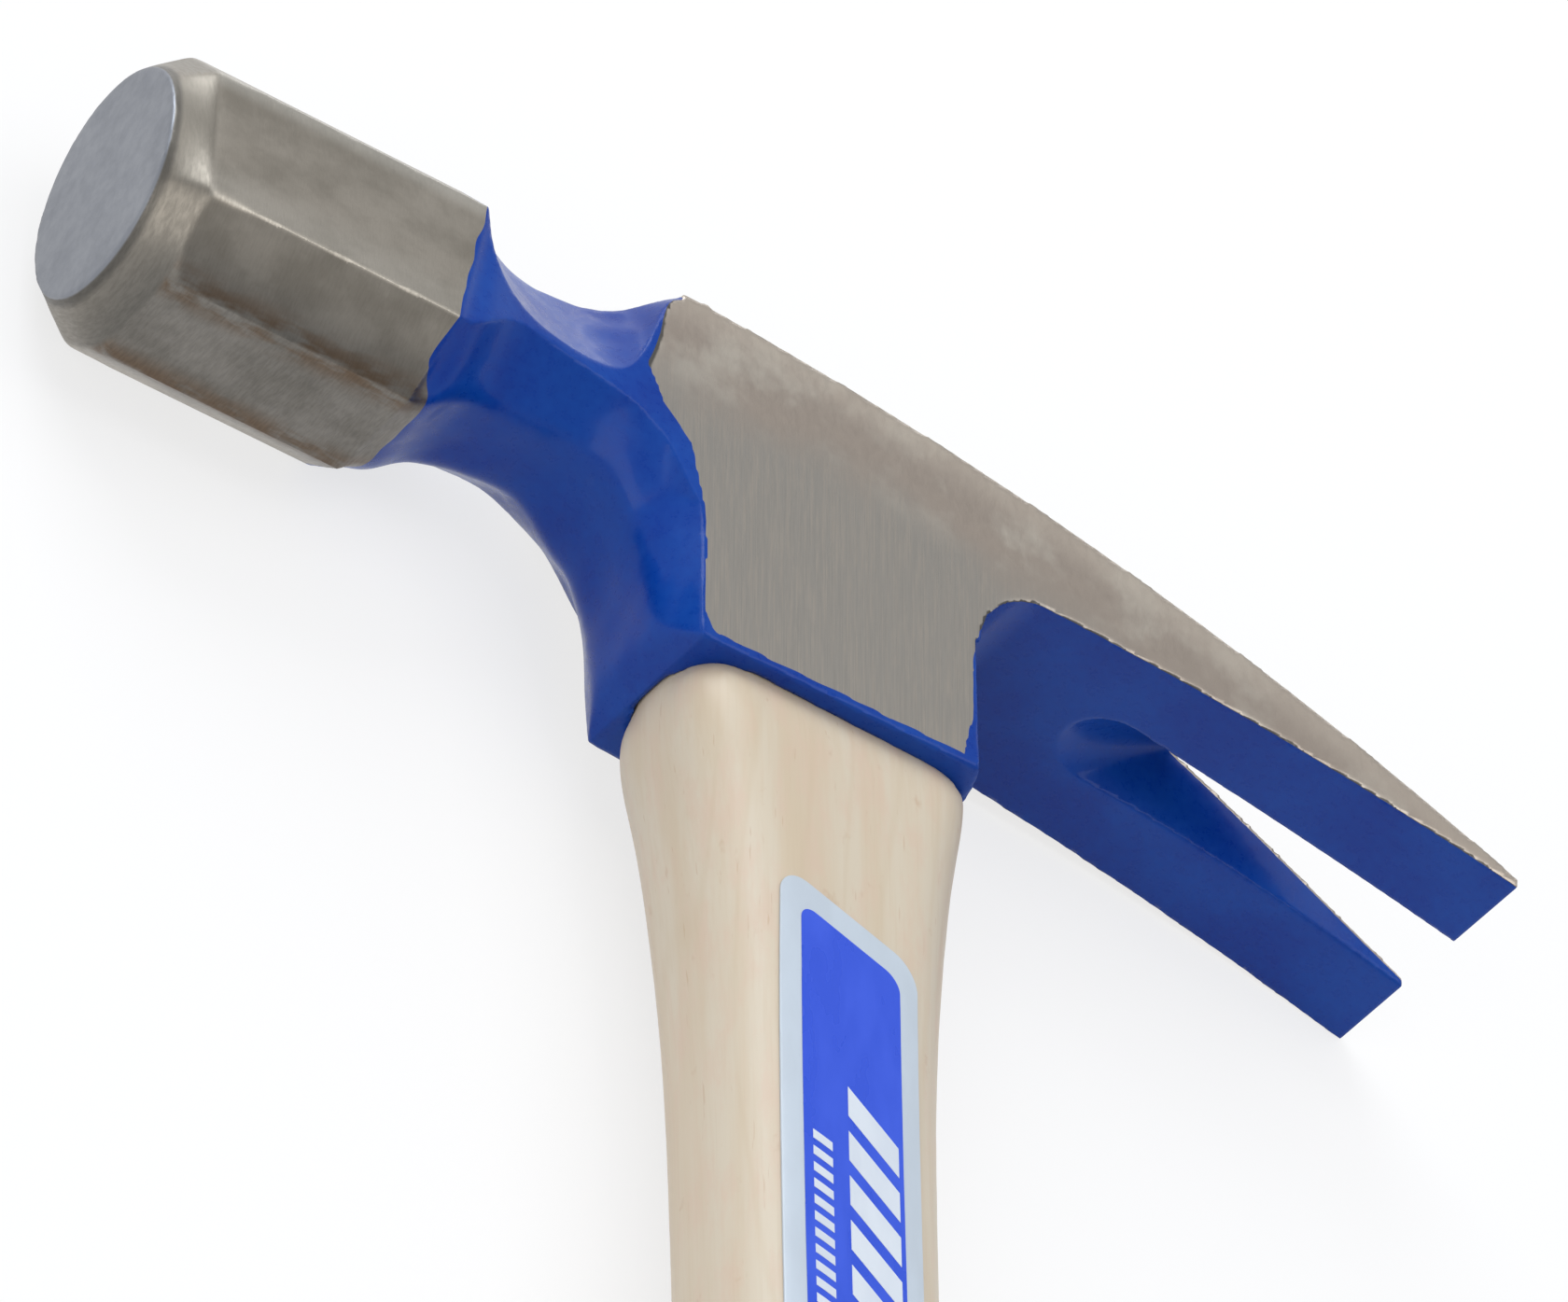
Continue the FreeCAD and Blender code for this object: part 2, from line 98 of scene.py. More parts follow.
class Graph:
    """A node tree, written with short calls."""

    def __init__(self, tree: bpy.types.NodeTree) -> None:
        """Take over a tree and empty it."""
        self.tree = tree
        tree.nodes.clear()

    def add(self, kind: str, inputs: dict, **settings: object) -> bpy.types.Node:
        """Add a node.

        Args:
            kind: The node's type. A shader node goes without its leading ShaderNode.
            inputs: Socket name or index to a socket or a plain value.
            **settings: Properties of the node itself.

        Returns:
            The new node.
        """
        whole = kind if kind.startswith(("GeometryNode", "NodeGroup")) else "ShaderNode" + kind
        node = self.tree.nodes.new(whole)
        for key, value in settings.items():
            setattr(node, key, value)
        for key, value in inputs.items():
            if isinstance(value, NodeSocket):
                self.tree.links.new(value, node.inputs[key])
            else:
                node.inputs[key].default_value = value
        return node

    def first(self, kind: str, inputs: dict, **settings: object) -> NodeSocket:
        """Return the first output of a new node."""
        return self.add(kind, inputs, **settings).outputs[0]

    def math(self, operation: str, *values: object) -> NodeSocket:
        """Return the result of a math node on sockets or numbers."""
        return self.first("Math", dict(enumerate(values)), operation=operation)

    def times(self, one: object, other: object) -> NodeSocket:
        """Return the product of two sockets or numbers."""
        return self.math("MULTIPLY", one, other)

    def grade(self, value: NodeSocket, low: float, high: float, start: float = 0.0,
              stop: float = 1.0) -> NodeSocket:
        """Return a value mapped with a soft step, to start at low and to stop at high."""
        sockets = {"Value": value, "From Min": low, "From Max": high,
                   "To Min": start, "To Max": stop}
        return self.first("MapRange", sockets, interpolation_type="SMOOTHSTEP")

    def seen(self) -> NodeSocket:
        """Return 1 for what is seen, straight, mirrored or through glass, and 0 for light.

        Returns:
            The socket.
        """
        path = self.add("LightPath", {}).outputs
        seen = self.math("MAXIMUM", path["Is Camera Ray"], path["Is Glossy Ray"])
        return self.math("MAXIMUM", seen, path["Is Transmission Ray"])


@dataclass(frozen=True)
class Grain:
    """Noise by its frequency along each axis, its octaves, and where it fades in as a mask."""

    per_mm: tuple
    detail: float = 2.0
    roughness: float = 0.5
    low: float = 0.0
    high: float = 1.0


class Sheet(Graph):
    """A material's node tree, with short calls for what the finishes share."""

    def __init__(self, name: str) -> None:
        """Start an empty material of that name.

        Args:
            name: The material's name.
        """
        self.material = bpy.data.materials.new(name)
        self.material.use_nodes = True
        super().__init__(self.material.node_tree)

    @cached_property
    def place(self) -> NodeSocket:
        """The place in millimetres from the head's origin."""
        here = self.add("TexCoord", {}).outputs["Object"]
        moved = self.first("VectorMath", {0: here, 1: HEAD_ORIGIN}, operation="SUBTRACT")
        return self.first("VectorMath", {0: moved, "Scale": 1 / MM}, operation="SCALE")

    @cached_property
    def off_middle(self) -> NodeSocket:
        """The distance from the head's middle plane in millimetres."""
        return self.math("ABSOLUTE", self.add("SeparateXYZ", {0: self.place}).outputs[2])

    def dot(self, vector: NodeSocket, way: tuple) -> NodeSocket:
        """Return how far a vector reaches along a direction."""
        return self.add("VectorMath", {0: vector, 1: way}, operation="DOT_PRODUCT").outputs["Value"]

    def grain(self, grain: Grain) -> NodeSocket:
        """Return noise whose lines run along the axis with the lowest frequency.

        Args:
            grain: The noise's sizes.

        Returns:
            The noise, from 0 to 1.
        """
        per_mm = {0: self.place, 1: grain.per_mm}
        sockets = {"Vector": self.first("VectorMath", per_mm, operation="MULTIPLY"), "Scale": 1.0,
                   "Detail": grain.detail, "Roughness": grain.roughness}
        return self.add("TexNoise", sockets).outputs["Fac"]

    def mask(self, grain: Grain) -> NodeSocket:
        """Return noise that fades in from its low to its high."""
        return self.grade(self.grain(grain), grain.low, grain.high)

    def mix(self, share: object, first: object, second: object) -> NodeSocket:
        """Return a colour between two, where share says how much of the second."""
        return self.add("Mix", {0: share, 6: first, 7: second}, data_type="RGBA").outputs[2]

    def wash(self, colour: object, mask: NodeSocket, share: float, tint: object) -> NodeSocket:
        """Return a colour with a share of a tint where the mask is 1."""
        return self.mix(self.times(mask, share), colour, tint)

    def tinted(self, colour: NodeSocket, factor: NodeSocket) -> NodeSocket:
        """Return a colour multiplied by another."""
        sockets = {0: 1.0, 6: colour, 7: factor}
        return self.add("Mix", sockets, data_type="RGBA", blend_type="MULTIPLY").outputs[2]

    def blend(self, share: NodeSocket, first: object, second: object) -> NodeSocket:
        """Return a number between two, where share says how much of the second."""
        return self.first("Mix", {0: share, 2: first, 3: second}, data_type="FLOAT")

    def bump(self, height: NodeSocket, depth_mm: float) -> NodeSocket:
        """Return a normal that follows a height of that many millimetres."""
        return self.first("Bump", {"Height": height, "Strength": 1.0, "Distance": depth_mm * MM})

    def finish(self, **sockets: object) -> Material:
        """Return the material, closed with a surface shader.

        Args:
            **sockets: The shader's sockets, with _ for a space.

        Returns:
            The material.
        """
        named = {key.replace("_", " "): value for key, value in sockets.items()}
        self.add("OutputMaterial", {"Surface": self.first("BsdfPrincipled", named)})
        return self.material


@dataclass(frozen=True)
class Enamel:
    """Blue enamel on the forging: a smooth, slightly uneven coat."""

    deep: tuple = (0.0008, 0.030, 0.250, 1.0)
    light: tuple = (0.0024, 0.052, 0.310, 1.0)
    speck: tuple = (0.030, 0.085, 0.330, 1.0)
    cloud: Grain = Grain((0.11, 0.11, 0.11), 3.0, 0.5, 0.35, 0.65)
    mottle: Grain = Grain((1.3, 1.3, 1.3), 3.0, 0.6, 0.30, 0.72)
    specks: Grain = Grain((4.2, 4.2, 4.2), 1.0, 0.5, 0.74, 0.82)
    peel: Grain = Grain((0.85, 0.85, 0.85), 2.0, 0.45)
    mottle_share: float = 0.35
    speck_share: float = 0.35
    edge_bend: tuple = (0.53, 0.60)
    edge_share: float = 0.15
    roughness: tuple = (0.26, 0.36)
    specular: float = 0.16
    coat: float = 0.12
    coat_roughness: float = 0.12
    peel_mm: float = 0.008

    def material(self) -> Material:
        """Return the enamel's material.

        Returns:
            The material, cloudy and specked, and a little paler along sharp convex edges.
        """
        sheet = Sheet("blue_enamel")
        mottle = sheet.mask(self.mottle)
        tone = sheet.blend(self.mottle_share, sheet.mask(self.cloud), mottle)
        colour = sheet.mix(tone, self.deep, self.light)
        colour = sheet.wash(colour, sheet.mask(self.specks), self.speck_share, self.speck)
        # Paler along sharp convex edges, found by the mesh's pointiness
        bend = sheet.add("NewGeometry", {}).outputs["Pointiness"]
        colour = sheet.wash(colour, sheet.grade(bend, *self.edge_bend), self.edge_share, self.speck)
        return sheet.finish(Base_Color=colour, Roughness=sheet.blend(mottle, *self.roughness),
                            Specular_IOR_Level=self.specular, Coat_Weight=self.coat,
                            Coat_Roughness=self.coat_roughness,
                            Normal=sheet.bump(sheet.grain(self.peel), self.peel_mm))


@dataclass(frozen=True)
class GroundSteel:
    """Bare steel off the belt: hairlines on poll and cheek, with faint heat tints.

    A pair of millimetres says where a mask starts and where it is full.
    """

    head: "HammerHead"
    cheek: tuple = (0.352, 0.332, 0.305, 1.0)
    cheek_warm: tuple = (0.400, 0.365, 0.325, 1.0)
    crown_strip: tuple = (0.400, 0.345, 0.300, 1.0)
    crown_pale: tuple = (0.520, 0.475, 0.415, 1.0)
    # Painted highlight colour along the crown's edge
    crown_highlight: tuple = (0.600, 0.530, 0.455, 1.0)
    poll: tuple = (0.395, 0.360, 0.312, 1.0)
    poll_dark: tuple = (0.300, 0.272, 0.232, 1.0)
    ring: tuple = (0.350, 0.320, 0.275, 1.0)
    # The striking face's darker grey, with a blue cast that is a painted sky reflection
    face: tuple = (0.262, 0.274, 0.302, 1.0)
    face_dark: tuple = (0.226, 0.238, 0.266, 1.0)
    heat_tint: tuple = (0.235, 0.150, 0.090, 1.0)
    # Painted highlight colour along the poll's side corners
    bright: tuple = (0.720, 0.705, 0.650, 1.0)
    # Painted shade, laid on the cheek's bevel at the paint edge and on the bevel round the striking
    # face
    painted_shade: tuple = (0.080, 0.078, 0.075, 1.0)
    line_dark: tuple = (0.89, 0.89, 0.89, 1.0)
    line_light: tuple = (1.07, 1.07, 1.07, 1.0)
    under_shade: tuple = (0.52, 0.54, 0.57, 1.0)
    ring_shade: tuple = (0.74, 0.74, 0.74, 1.0)
    plain: tuple = (1.0, 1.0, 1.0, 1.0)
    patches: Grain = Grain((0.13, 0.13, 0.13), 4.0, 0.62, 0.42, 0.66)
    streaks: Grain = Grain((4.5, 0.22, 0.4), 3.0, 0.7, 0.42, 0.70)
    blotch: Grain = Grain((0.16, 0.22, 0.22), 4.0, 0.60, 0.34, 0.66)
    broken: Grain = Grain((0.22, 0.7, 0.7), 3.0, 0.6, 0.34, 0.60)
    face_cloud: Grain = Grain((0.25, 0.25, 0.25), 4.0, 0.6, 0.35, 0.65)
    drift: Grain = Grain((0.10, 0.10, 0.10), 3.0)
    cheek_lines: Grain = Grain((8.0, 0.13, 0.4), 3.0, 0.70)
    crown_lines: Grain = Grain((2.2, 0.9, 0.9), 4.0, 0.60)
    poll_lines: Grain = Grain((5.0, 0.9, 0.9), 4.0, 0.66)
    line_contrast: tuple = (0.30, 0.70)
    line_roughness: tuple = (0.45, 0.36)
    line_depth_mm: float = 0.006
    quiet_crown: float = 0.75
    quiet_share: float = 0.85
    face_reach: tuple = (0.25, 0.08)
    ring_fade: tuple = (0.3, -0.2)
    rim_start: tuple = (0.06, 0.18)
    rim_stop: tuple = (0.95, 0.45)
    rim_share: float = 0.6
    under_reach: tuple = (-7.5, -12.5)
    drift_mm: float = 9.0
    strip_reach: tuple = (16.0, 9.5)
    pale_reach: tuple = (4.0, 0.4)
    pale_share: float = 0.55
    brink_crown: tuple = (0.5, 0.9)
    brink_outer: tuple = (0.006, 0.025)
    brink_inner: tuple = (0.35, 0.25)
    brink_share: float = 0.9
    tint_reach: tuple = (2.6, 0.2)
    tint_share: float = 0.84
    corner_reach: tuple = (1.9, 0.2)
    corner_share: float = 0.35
    band_upper: tuple = (5.0, 0.5)
    band_lower: tuple = (-0.2, 0.1)
    band_share: float = 0.17

    def material(self) -> Material:
        """Return the steel's material.

        Returns:
            The material, with its own look on face, ring, poll, cheek and crown.
        """
        sheet = Sheet("ground_steel")
        along = sheet.first("SeparateXYZ", {0: sheet.place})
        on_poll = sheet.math("LESS_THAN", along, self.head.neck_middle_x)
        behind_face = self.behind_face(sheet)
        on_face = sheet.grade(behind_face, *self.face_reach)
        under_crown = self.under_crown(sheet)
        wandering = sheet.math("MULTIPLY_ADD", sheet.grain(self.drift), self.drift_mm, under_crown)
        near_crown = sheet.grade(wandering, *self.strip_reach)

        cheek = self.cheek_colour(sheet, near_crown, under_crown)
        colour = sheet.mix(on_poll, cheek, self.poll_colour(sheet, behind_face))
        # The striking face is darker struck steel; its blue cast is a painted reflection of the sky
        face = sheet.mix(sheet.mask(self.face_cloud), self.face_dark, self.face)
        colour = sheet.mix(on_face, colour, face)

        cheek_lines, crown_lines, poll_lines = (
            sheet.grain(lines) for lines in (self.cheek_lines, self.crown_lines, self.poll_lines))
        lines = sheet.blend(on_poll, sheet.blend(near_crown, cheek_lines, crown_lines), poll_lines)
        contrast = sheet.grade(lines, *self.line_contrast)
        quiet = sheet.math("MAXIMUM", on_face, sheet.times(near_crown, self.quiet_crown))
        factor = sheet.mix(contrast, self.line_dark, self.line_light)
        factor = sheet.wash(factor, quiet, self.quiet_share, self.plain)
        return sheet.finish(Base_Color=sheet.tinted(colour, factor), Metallic=1.0,
                            Roughness=sheet.blend(contrast, *self.line_roughness),
                            Normal=sheet.bump(lines, self.line_depth_mm))

    def behind_face(self, sheet: Sheet) -> NodeSocket:
        """Return the depth behind the striking face in millimetres.

        Args:
            sheet: The material's sheet.

        Returns:
            The depth.
        """
        rise = math.radians(self.head.poll_rise_deg)
        inward = (math.cos(rise), -math.sin(rise), 0.0)
        start = self.head.face_x * inward[0] + self.head.face_y * inward[1]
        return sheet.math("SUBTRACT", sheet.dot(sheet.place, inward), start)

    def poll_height(self, sheet: Sheet) -> NodeSocket:
        """Return the height over the poll's axis in millimetres.

        Args:
            sheet: The material's sheet.

        Returns:
            The height.
        """
        rise = slope(self.head.poll_rise_deg)
        axis = self.head.face_y + rise * self.head.face_x
        return sheet.math("SUBTRACT", sheet.dot(sheet.place, (rise, 1.0, 0.0)), axis)

    def under_crown(self, sheet: Sheet) -> NodeSocket:
        """Return the depth under the crown in millimetres.

        Args:
            sheet: The material's sheet.

        Returns:
            The depth.
        """
        crown_x, crown_y, radius = self.head.crown_circle()
        flat_place = sheet.first("VectorMath", {0: sheet.place, 1: (1.0, 1.0, 0.0)},
                                 operation="MULTIPLY")
        reach = sheet.add("VectorMath", {0: flat_place, 1: (crown_x, crown_y, 0.0)},
                          operation="DISTANCE")
        return sheet.math("SUBTRACT", radius, reach.outputs["Value"])

    def brink_shade_mask(self, sheet: Sheet, under_crown: NodeSocket) -> NodeSocket:
        """Return a mask of painted shade on the ground sides' outermost strip, where they turn
        under the paint.

        Args:
            sheet: The material's sheet.
            under_crown: The depth under the crown.

        Returns:
            The mask.
        """
        flare_way = (slope(self.head.side_flare_along_deg), slope(self.head.side_flare_up_deg), 0.0)
        half_width = sheet.math("ADD", sheet.dot(sheet.place, flare_way), self.head.side_half_width)
        inside = sheet.math("SUBTRACT", half_width, sheet.off_middle)
        below = sheet.times(sheet.grade(under_crown, *self.brink_crown),
                            sheet.grade(inside, *self.brink_inner))
        return sheet.times(sheet.grade(inside, *self.brink_outer),
                           sheet.times(below, self.brink_share))

    def cheek_colour(self, sheet: Sheet, near_crown: NodeSocket,
                     under_crown: NodeSocket) -> NodeSocket:
        """Return the cheek's grey, warmer and blotchy under the crown, with a painted highlight
        along its edge.

        Args:
            sheet: The material's sheet.
            near_crown: The mask of the strip under the crown.
            under_crown: The depth under the crown.

        Returns:
            The colour, with painted shade at its brink.
        """
        strip = sheet.mix(sheet.mask(self.patches), self.crown_strip, self.crown_pale)
        # Painted highlight along the crown's edge
        edge = sheet.grade(under_crown, *self.pale_reach)
        strip = sheet.wash(strip, edge, self.pale_share, self.crown_highlight)
        cheek = sheet.mix(sheet.mask(self.streaks), self.cheek, self.cheek_warm)
        cheek = sheet.mix(near_crown, cheek, strip)
        # Painted shade on the ground sides' outermost strip
        return sheet.mix(self.brink_shade_mask(sheet, under_crown), cheek, self.painted_shade)

    def poll_colour(self, sheet: Sheet, behind_face: NodeSocket) -> NodeSocket:
        """Return the poll's warm grey, brown along its lowest edges, with painted corner
        highlights.

        Args:
            sheet: The material's sheet.
            behind_face: The depth behind the striking face.

        Returns:
            The colour, with the ring, painted shade round the face's rim and the darker underside.
        """
        head = self.head
        height = self.poll_height(sheet)
        colour = sheet.mix(sheet.mask(self.blotch), self.poll_dark, self.poll)
        gap = sheet.first("CombineXYZ", {
            0: sheet.math("ADD", height, head.poll_height / 2),
            1: sheet.math("SUBTRACT", sheet.off_middle, head.poll_flat_width / 2)})
        gap = sheet.add("VectorMath", {0: gap}, operation="LENGTH").outputs["Value"]
        scorched = sheet.times(sheet.grade(gap, *self.tint_reach), sheet.mask(self.broken))
        colour = sheet.wash(colour, scorched, self.tint_share, self.heat_tint)
        # Painted highlights: a pale strip along the upper side corner and a pale band just above
        # the lower one
        over_upper = sheet.math("ABSOLUTE", sheet.math("SUBTRACT", height, head.poll_side_upper))
        over_lower = sheet.math("ADD", height, head.poll_side_lower)
        band_highlight = sheet.times(sheet.grade(over_lower, *self.band_upper),
                           sheet.grade(over_lower, *self.band_lower))
        corner = sheet.times(sheet.grade(over_upper, *self.corner_reach), self.corner_share)
        painted_highlight = sheet.math("MAXIMUM", corner, sheet.times(band_highlight, self.band_share))
        colour = sheet.mix(painted_highlight, colour, self.bright)

        on_ring = sheet.grade(behind_face, *(head.ring_depth + fade for fade in self.ring_fade))
        colour = sheet.mix(on_ring, colour, self.ring)
        # Painted shade on the bevel round the striking face
        rim = sheet.times(sheet.grade(behind_face, *self.rim_start),
                          sheet.grade(behind_face, *self.rim_stop))
        colour = sheet.wash(colour, rim, self.rim_share, self.painted_shade)
        shade = sheet.mix(sheet.grade(height, *self.under_reach), self.plain, self.under_shade)
        shade = sheet.tinted(shade, sheet.mix(on_ring, self.plain, self.ring_shade))
        return sheet.tinted(colour, shade)


@dataclass(frozen=True)
class Wood:
    """Clear-finished wood with its fibres along the handle."""

    name: str = "hickory"
    pale: tuple = (0.580, 0.505, 0.395, 1.0)
    warm: tuple = (0.550, 0.440, 0.310, 1.0)
    rosy: tuple = (0.585, 0.440, 0.335, 1.0)
    late: tuple = (0.520, 0.415, 0.285, 1.0)
    fleck: tuple = (0.400, 0.215, 0.105, 1.0)
    end_dark: tuple = (0.420, 0.300, 0.180, 1.0)
    bend: Grain = Grain((0.045, 0.010, 0.045), 2.0)
    streak: Grain = Grain((0.36, 0.022, 0.36), 4.0, 0.6, 0.34, 0.68)
    mottle: Grain = Grain((0.42, 0.13, 0.42), 4.0, 0.66, 0.44, 0.70)
    fibre: Grain = Grain((3.2, 0.070, 3.2), 3.0, 0.6)
    pore: Grain = Grain((2.6, 0.20, 2.6), 2.0, 0.55, 0.675, 0.74)
    knot: Grain = Grain((0.50, 0.26, 0.50), 3.0, 0.6, 0.64, 0.78)
    dots: Grain = Grain((2.4, 0.5, 2.4), 2.0, 0.5, 0.45, 0.68)
    ring_way: tuple = (0.30, 0.0, 0.20)
    ring_bend: float = 9.0
    ring_turn: float = 2.1
    ring_line: tuple = (0.35, 0.03)
    fine_line: tuple = (0.50, 0.72)
    end_facing: tuple = (0.80, 0.97)
    streak_share: float = 0.75
    mottle_share: float = 0.62
    ring_share: float = 0.24
    fine_share: float = 0.20
    pore_share: float = 0.30
    knot_share: float = 0.36
    end_share: float = 0.65
    roughness: tuple = (0.40, 0.56)
    coat: float = 0.15
    coat_roughness: float = 0.25
    fibre_mm: float = 0.010

    def material(self) -> Material:
        """Return the wood's material.

        Returns:
            The material, with late rings, streaks, pores and knots, and darker end grain.
        """
        sheet = Sheet(self.name)
        rings = sheet.math("MULTIPLY_ADD", sheet.grain(self.bend), self.ring_bend,
                           sheet.dot(sheet.place, self.ring_way))
        ring = sheet.math("ABSOLUTE", sheet.math("SINE", sheet.times(rings, self.ring_turn)))
        fibre = sheet.grain(self.fibre)
        colour = self.pale
        for mask, share, tint in (
                (sheet.mask(self.streak), self.streak_share, self.warm),
                (sheet.mask(self.mottle), self.mottle_share, self.rosy),
                (sheet.grade(ring, *self.ring_line), self.ring_share, self.late),
                (sheet.grade(fibre, *self.fine_line), self.fine_share, self.late),
                (sheet.mask(self.pore), self.pore_share, self.fleck),
                (sheet.mask(self.knot), self.knot_share, self.fleck)):
            colour = sheet.wash(colour, mask, share, tint)
        facing = sheet.dot(sheet.add("NewGeometry", {}).outputs["Normal"], FIBRE_WAY)
        end = sheet.grade(sheet.math("ABSOLUTE", facing), *self.end_facing)
        end_colour = sheet.mix(sheet.mask(self.dots), self.late, self.end_dark)
        colour = sheet.wash(colour, end, self.end_share, end_colour)
        return sheet.finish(Base_Color=colour, Roughness=sheet.blend(fibre, *self.roughness),
                            Coat_Weight=self.coat, Coat_Roughness=self.coat_roughness,
                            Normal=sheet.bump(fibre, self.fibre_mm))


@dataclass(frozen=True)
class CloudyFinish:
    """One colour, cloudy with another, over a fine relief: printed film, or struck steel."""

    name: str
    base: tuple
    cloud: tuple
    roughness: tuple = (0.28, 0.38)
    clouds: Grain = Grain((0.35, 0.12, 0.35), 3.0, 0.55, 0.32, 0.68)
    relief: Grain = Grain((0.5, 0.22, 0.5), 2.0)
    relief_mm: float = 0.006
    metallic: float = 0.0
    coat: float = 0.12
    coat_roughness: float = 0.15

    def material(self) -> Material:
        """Return the finish's material.

        Returns:
            The material, rougher where it is cloudy.
        """
        sheet = Sheet(self.name)
        cloudy = sheet.mask(self.clouds)
        return sheet.finish(Base_Color=sheet.mix(cloudy, self.base, self.cloud),
                            Metallic=self.metallic, Roughness=sheet.blend(cloudy, *self.roughness),
                            Coat_Weight=self.coat, Coat_Roughness=self.coat_roughness,
                            Normal=sheet.bump(sheet.grain(self.relief), self.relief_mm))


@dataclass(frozen=True)
class PaleFloor:
    """The studio's pale floor, which keeps the object's shadow."""

    shade: tuple = (0.86, 0.86, 0.87, 1.0)
    shown: tuple = (1.0, 1.0, 1.0, 1.0)
    shown_share: float = 0.72
    far_reach: tuple = (0.24, 0.45)
    far_gain: float = 2.6

    def material(self) -> Material:
        """Return the floor's material, paler where it is seen than it is for light.

        Returns:
            The material, palest where its far part is mirrored.
        """
        sheet = Sheet("pale_floor")
        matt = sheet.first("BsdfDiffuse", {"Color": self.shade})
        place = sheet.add("TexCoord", {}).outputs["Object"]
        away = sheet.add("SeparateXYZ", {0: place}).outputs[1]
        mirrored = sheet.add("LightPath", {}).outputs["Is Glossy Ray"]
        far = sheet.times(sheet.grade(away, *self.far_reach), mirrored)
        strength = sheet.math("MULTIPLY_ADD", far, self.far_gain, 1.0)
        glow = sheet.first("Emission", {"Color": self.shown, "Strength": strength})
        share = sheet.times(sheet.seen(), self.shown_share)
        mixed = sheet.first("MixShader", {0: share, 1: matt, 2: glow})
        sheet.add("OutputMaterial", {"Surface": mixed})
        return sheet.material


def placed(name: str, data: bpy.types.ID) -> Object:
    """Return a new object of the scene.

    Args:
        name: The object's name.
        data: Its mesh, camera or light.

    Returns:
        The object.
    """
    item = bpy.data.objects.new(name, data)
    bpy.context.scene.collection.objects.link(item)
    return item


def show(name: str, mesh: Mesh, material: Material) -> Object:
    """Add a piece to the scene, dress it and let it ride on the body.

    Args:
        name: The piece's name.
        mesh: Its mesh, in the row frame.
        material: Its material.

    Returns:
        The piece.
    """
    mesh.name = name
    mesh.materials.clear()
    mesh.materials.append(material)
    piece = placed(name, mesh)
    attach(piece, BODY)
    LOG.info("%s: %d faces", name, len(mesh.polygons))
    return piece


def evaluated_mesh(scratch: Object) -> Mesh:
    """Return what a scratch object's modifiers make of it, and remove the object.

    Args:
        scratch: The object, already in the scene.

    Returns:
        A plain mesh.
    """
    graph = bpy.context.evaluated_depsgraph_get()
    mesh = bpy.data.meshes.new_from_object(scratch.evaluated_get(graph))
    scratch.modifiers.clear()
    bpy.data.objects.remove(scratch)
    return mesh


def welded(node: Node) -> bmesh.types.BMesh:
    """Return a solid of the frame, with its doubled vertices made one.

    Args:
        node: The solid's name.

    Returns:
        The solid, which the caller frees.
    """
    solid = bmesh.new()
    solid.from_mesh(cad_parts[node.value].data)
    bmesh.ops.remove_doubles(solid, verts=solid.verts, dist=WELD)
    return solid


def forged_copy(node: Node, grain_mm: float) -> Mesh:
    """Return an even, fine mesh of a solid.

    Args:
        node: The solid.
        grain_mm: The size of the new mesh's faces.

    Returns:
        The mesh, closed and ready to be smoothed.
    """
    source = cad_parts[node.value].data.copy()
    solid = welded(node)
    solid.to_mesh(source)
    solid.free()
    scratch = placed("scratch", source)
    remesh = scratch.modifiers.new("even", "REMESH")
    remesh.mode = "VOXEL"
    remesh.voxel_size = grain_mm * MM
    remesh.use_smooth_shade = True
    return evaluated_mesh(scratch)


def mesh_rows(items: object, key: str, width: int, kind: type) -> np.ndarray:
    """Return a property of a mesh's vertices or edges, one row each.

    Args:
        items: The vertices or edges.
        key: The property.
        width: How many numbers it has.
        kind: The numbers' type.

    Returns:
        The rows.
    """
    flat = np.empty(len(items) * width, kind)
    items.foreach_get(key, flat)
    return flat.reshape(-1, width)


def vertex_places(mesh: Mesh) -> np.ndarray:
    """Return the vertices of a mesh in millimetres from the head's origin."""
    return (mesh_rows(mesh.vertices, "co", 3, np.float32).astype(float) - ORIGIN_ROW) / MM


def place_vertices(mesh: Mesh, places: np.ndarray) -> None:
    """Move the vertices of a mesh to places in millimetres from the head's origin."""
    mesh.vertices.foreach_set("co", (places * MM + ORIGIN_ROW).astype(np.float32).ravel())
    mesh.update()


def neighbours(mesh: Mesh) -> tuple:
    """Return the ends of every edge, and the other ends, both ways round."""
    ends = mesh_rows(mesh.edges, "vertices", 2, np.int32)
    return np.concatenate([ends[:, 0], ends[:, 1]]), np.concatenate([ends[:, 1], ends[:, 0]])


def mean_place(places: np.ndarray, here: np.ndarray, there: np.ndarray) -> np.ndarray:
    """Return the mean place of each vertex's neighbours.

    Args:
        places: The vertices, one row each.
        here: The vertices that look at a neighbour.
        there: Their neighbours.

    Returns:
        One row for each vertex, 0 where it has no neighbour.
    """
    total = np.stack([np.bincount(here, places[there, axis], len(places)) for axis in range(3)], 1)
    return total / np.maximum(np.bincount(here, minlength=len(places)), 1)[:, None]


def smoothed(mesh: Mesh, places: np.ndarray, free: np.ndarray, passes: int) -> np.ndarray:
    """Return vertex places drawn towards their neighbours.

    Args:
        mesh: The mesh, for its edges.
        places: The vertices, one row each.
        free: How freely each vertex moves, from 0 to 1.
        passes: How many passes are made.

    Returns:
        The new places.
    """
    here, there = neighbours(mesh)
    result = places.copy()
    for _ in range(passes):
        result += SMOOTH_STEP * free[:, None] * (mean_place(result, here, there) - result)
    return result


def search_tree(places: np.ndarray) -> KDTree:
    """Return a search tree of points.

    Args:
        places: The points, one row each.

    Returns:
        The tree, in which a point has its row's number.
    """
    tree = KDTree(len(places))
    for index, place in enumerate(places.tolist()):
        tree.insert(place, index)
    tree.balance()
    return tree


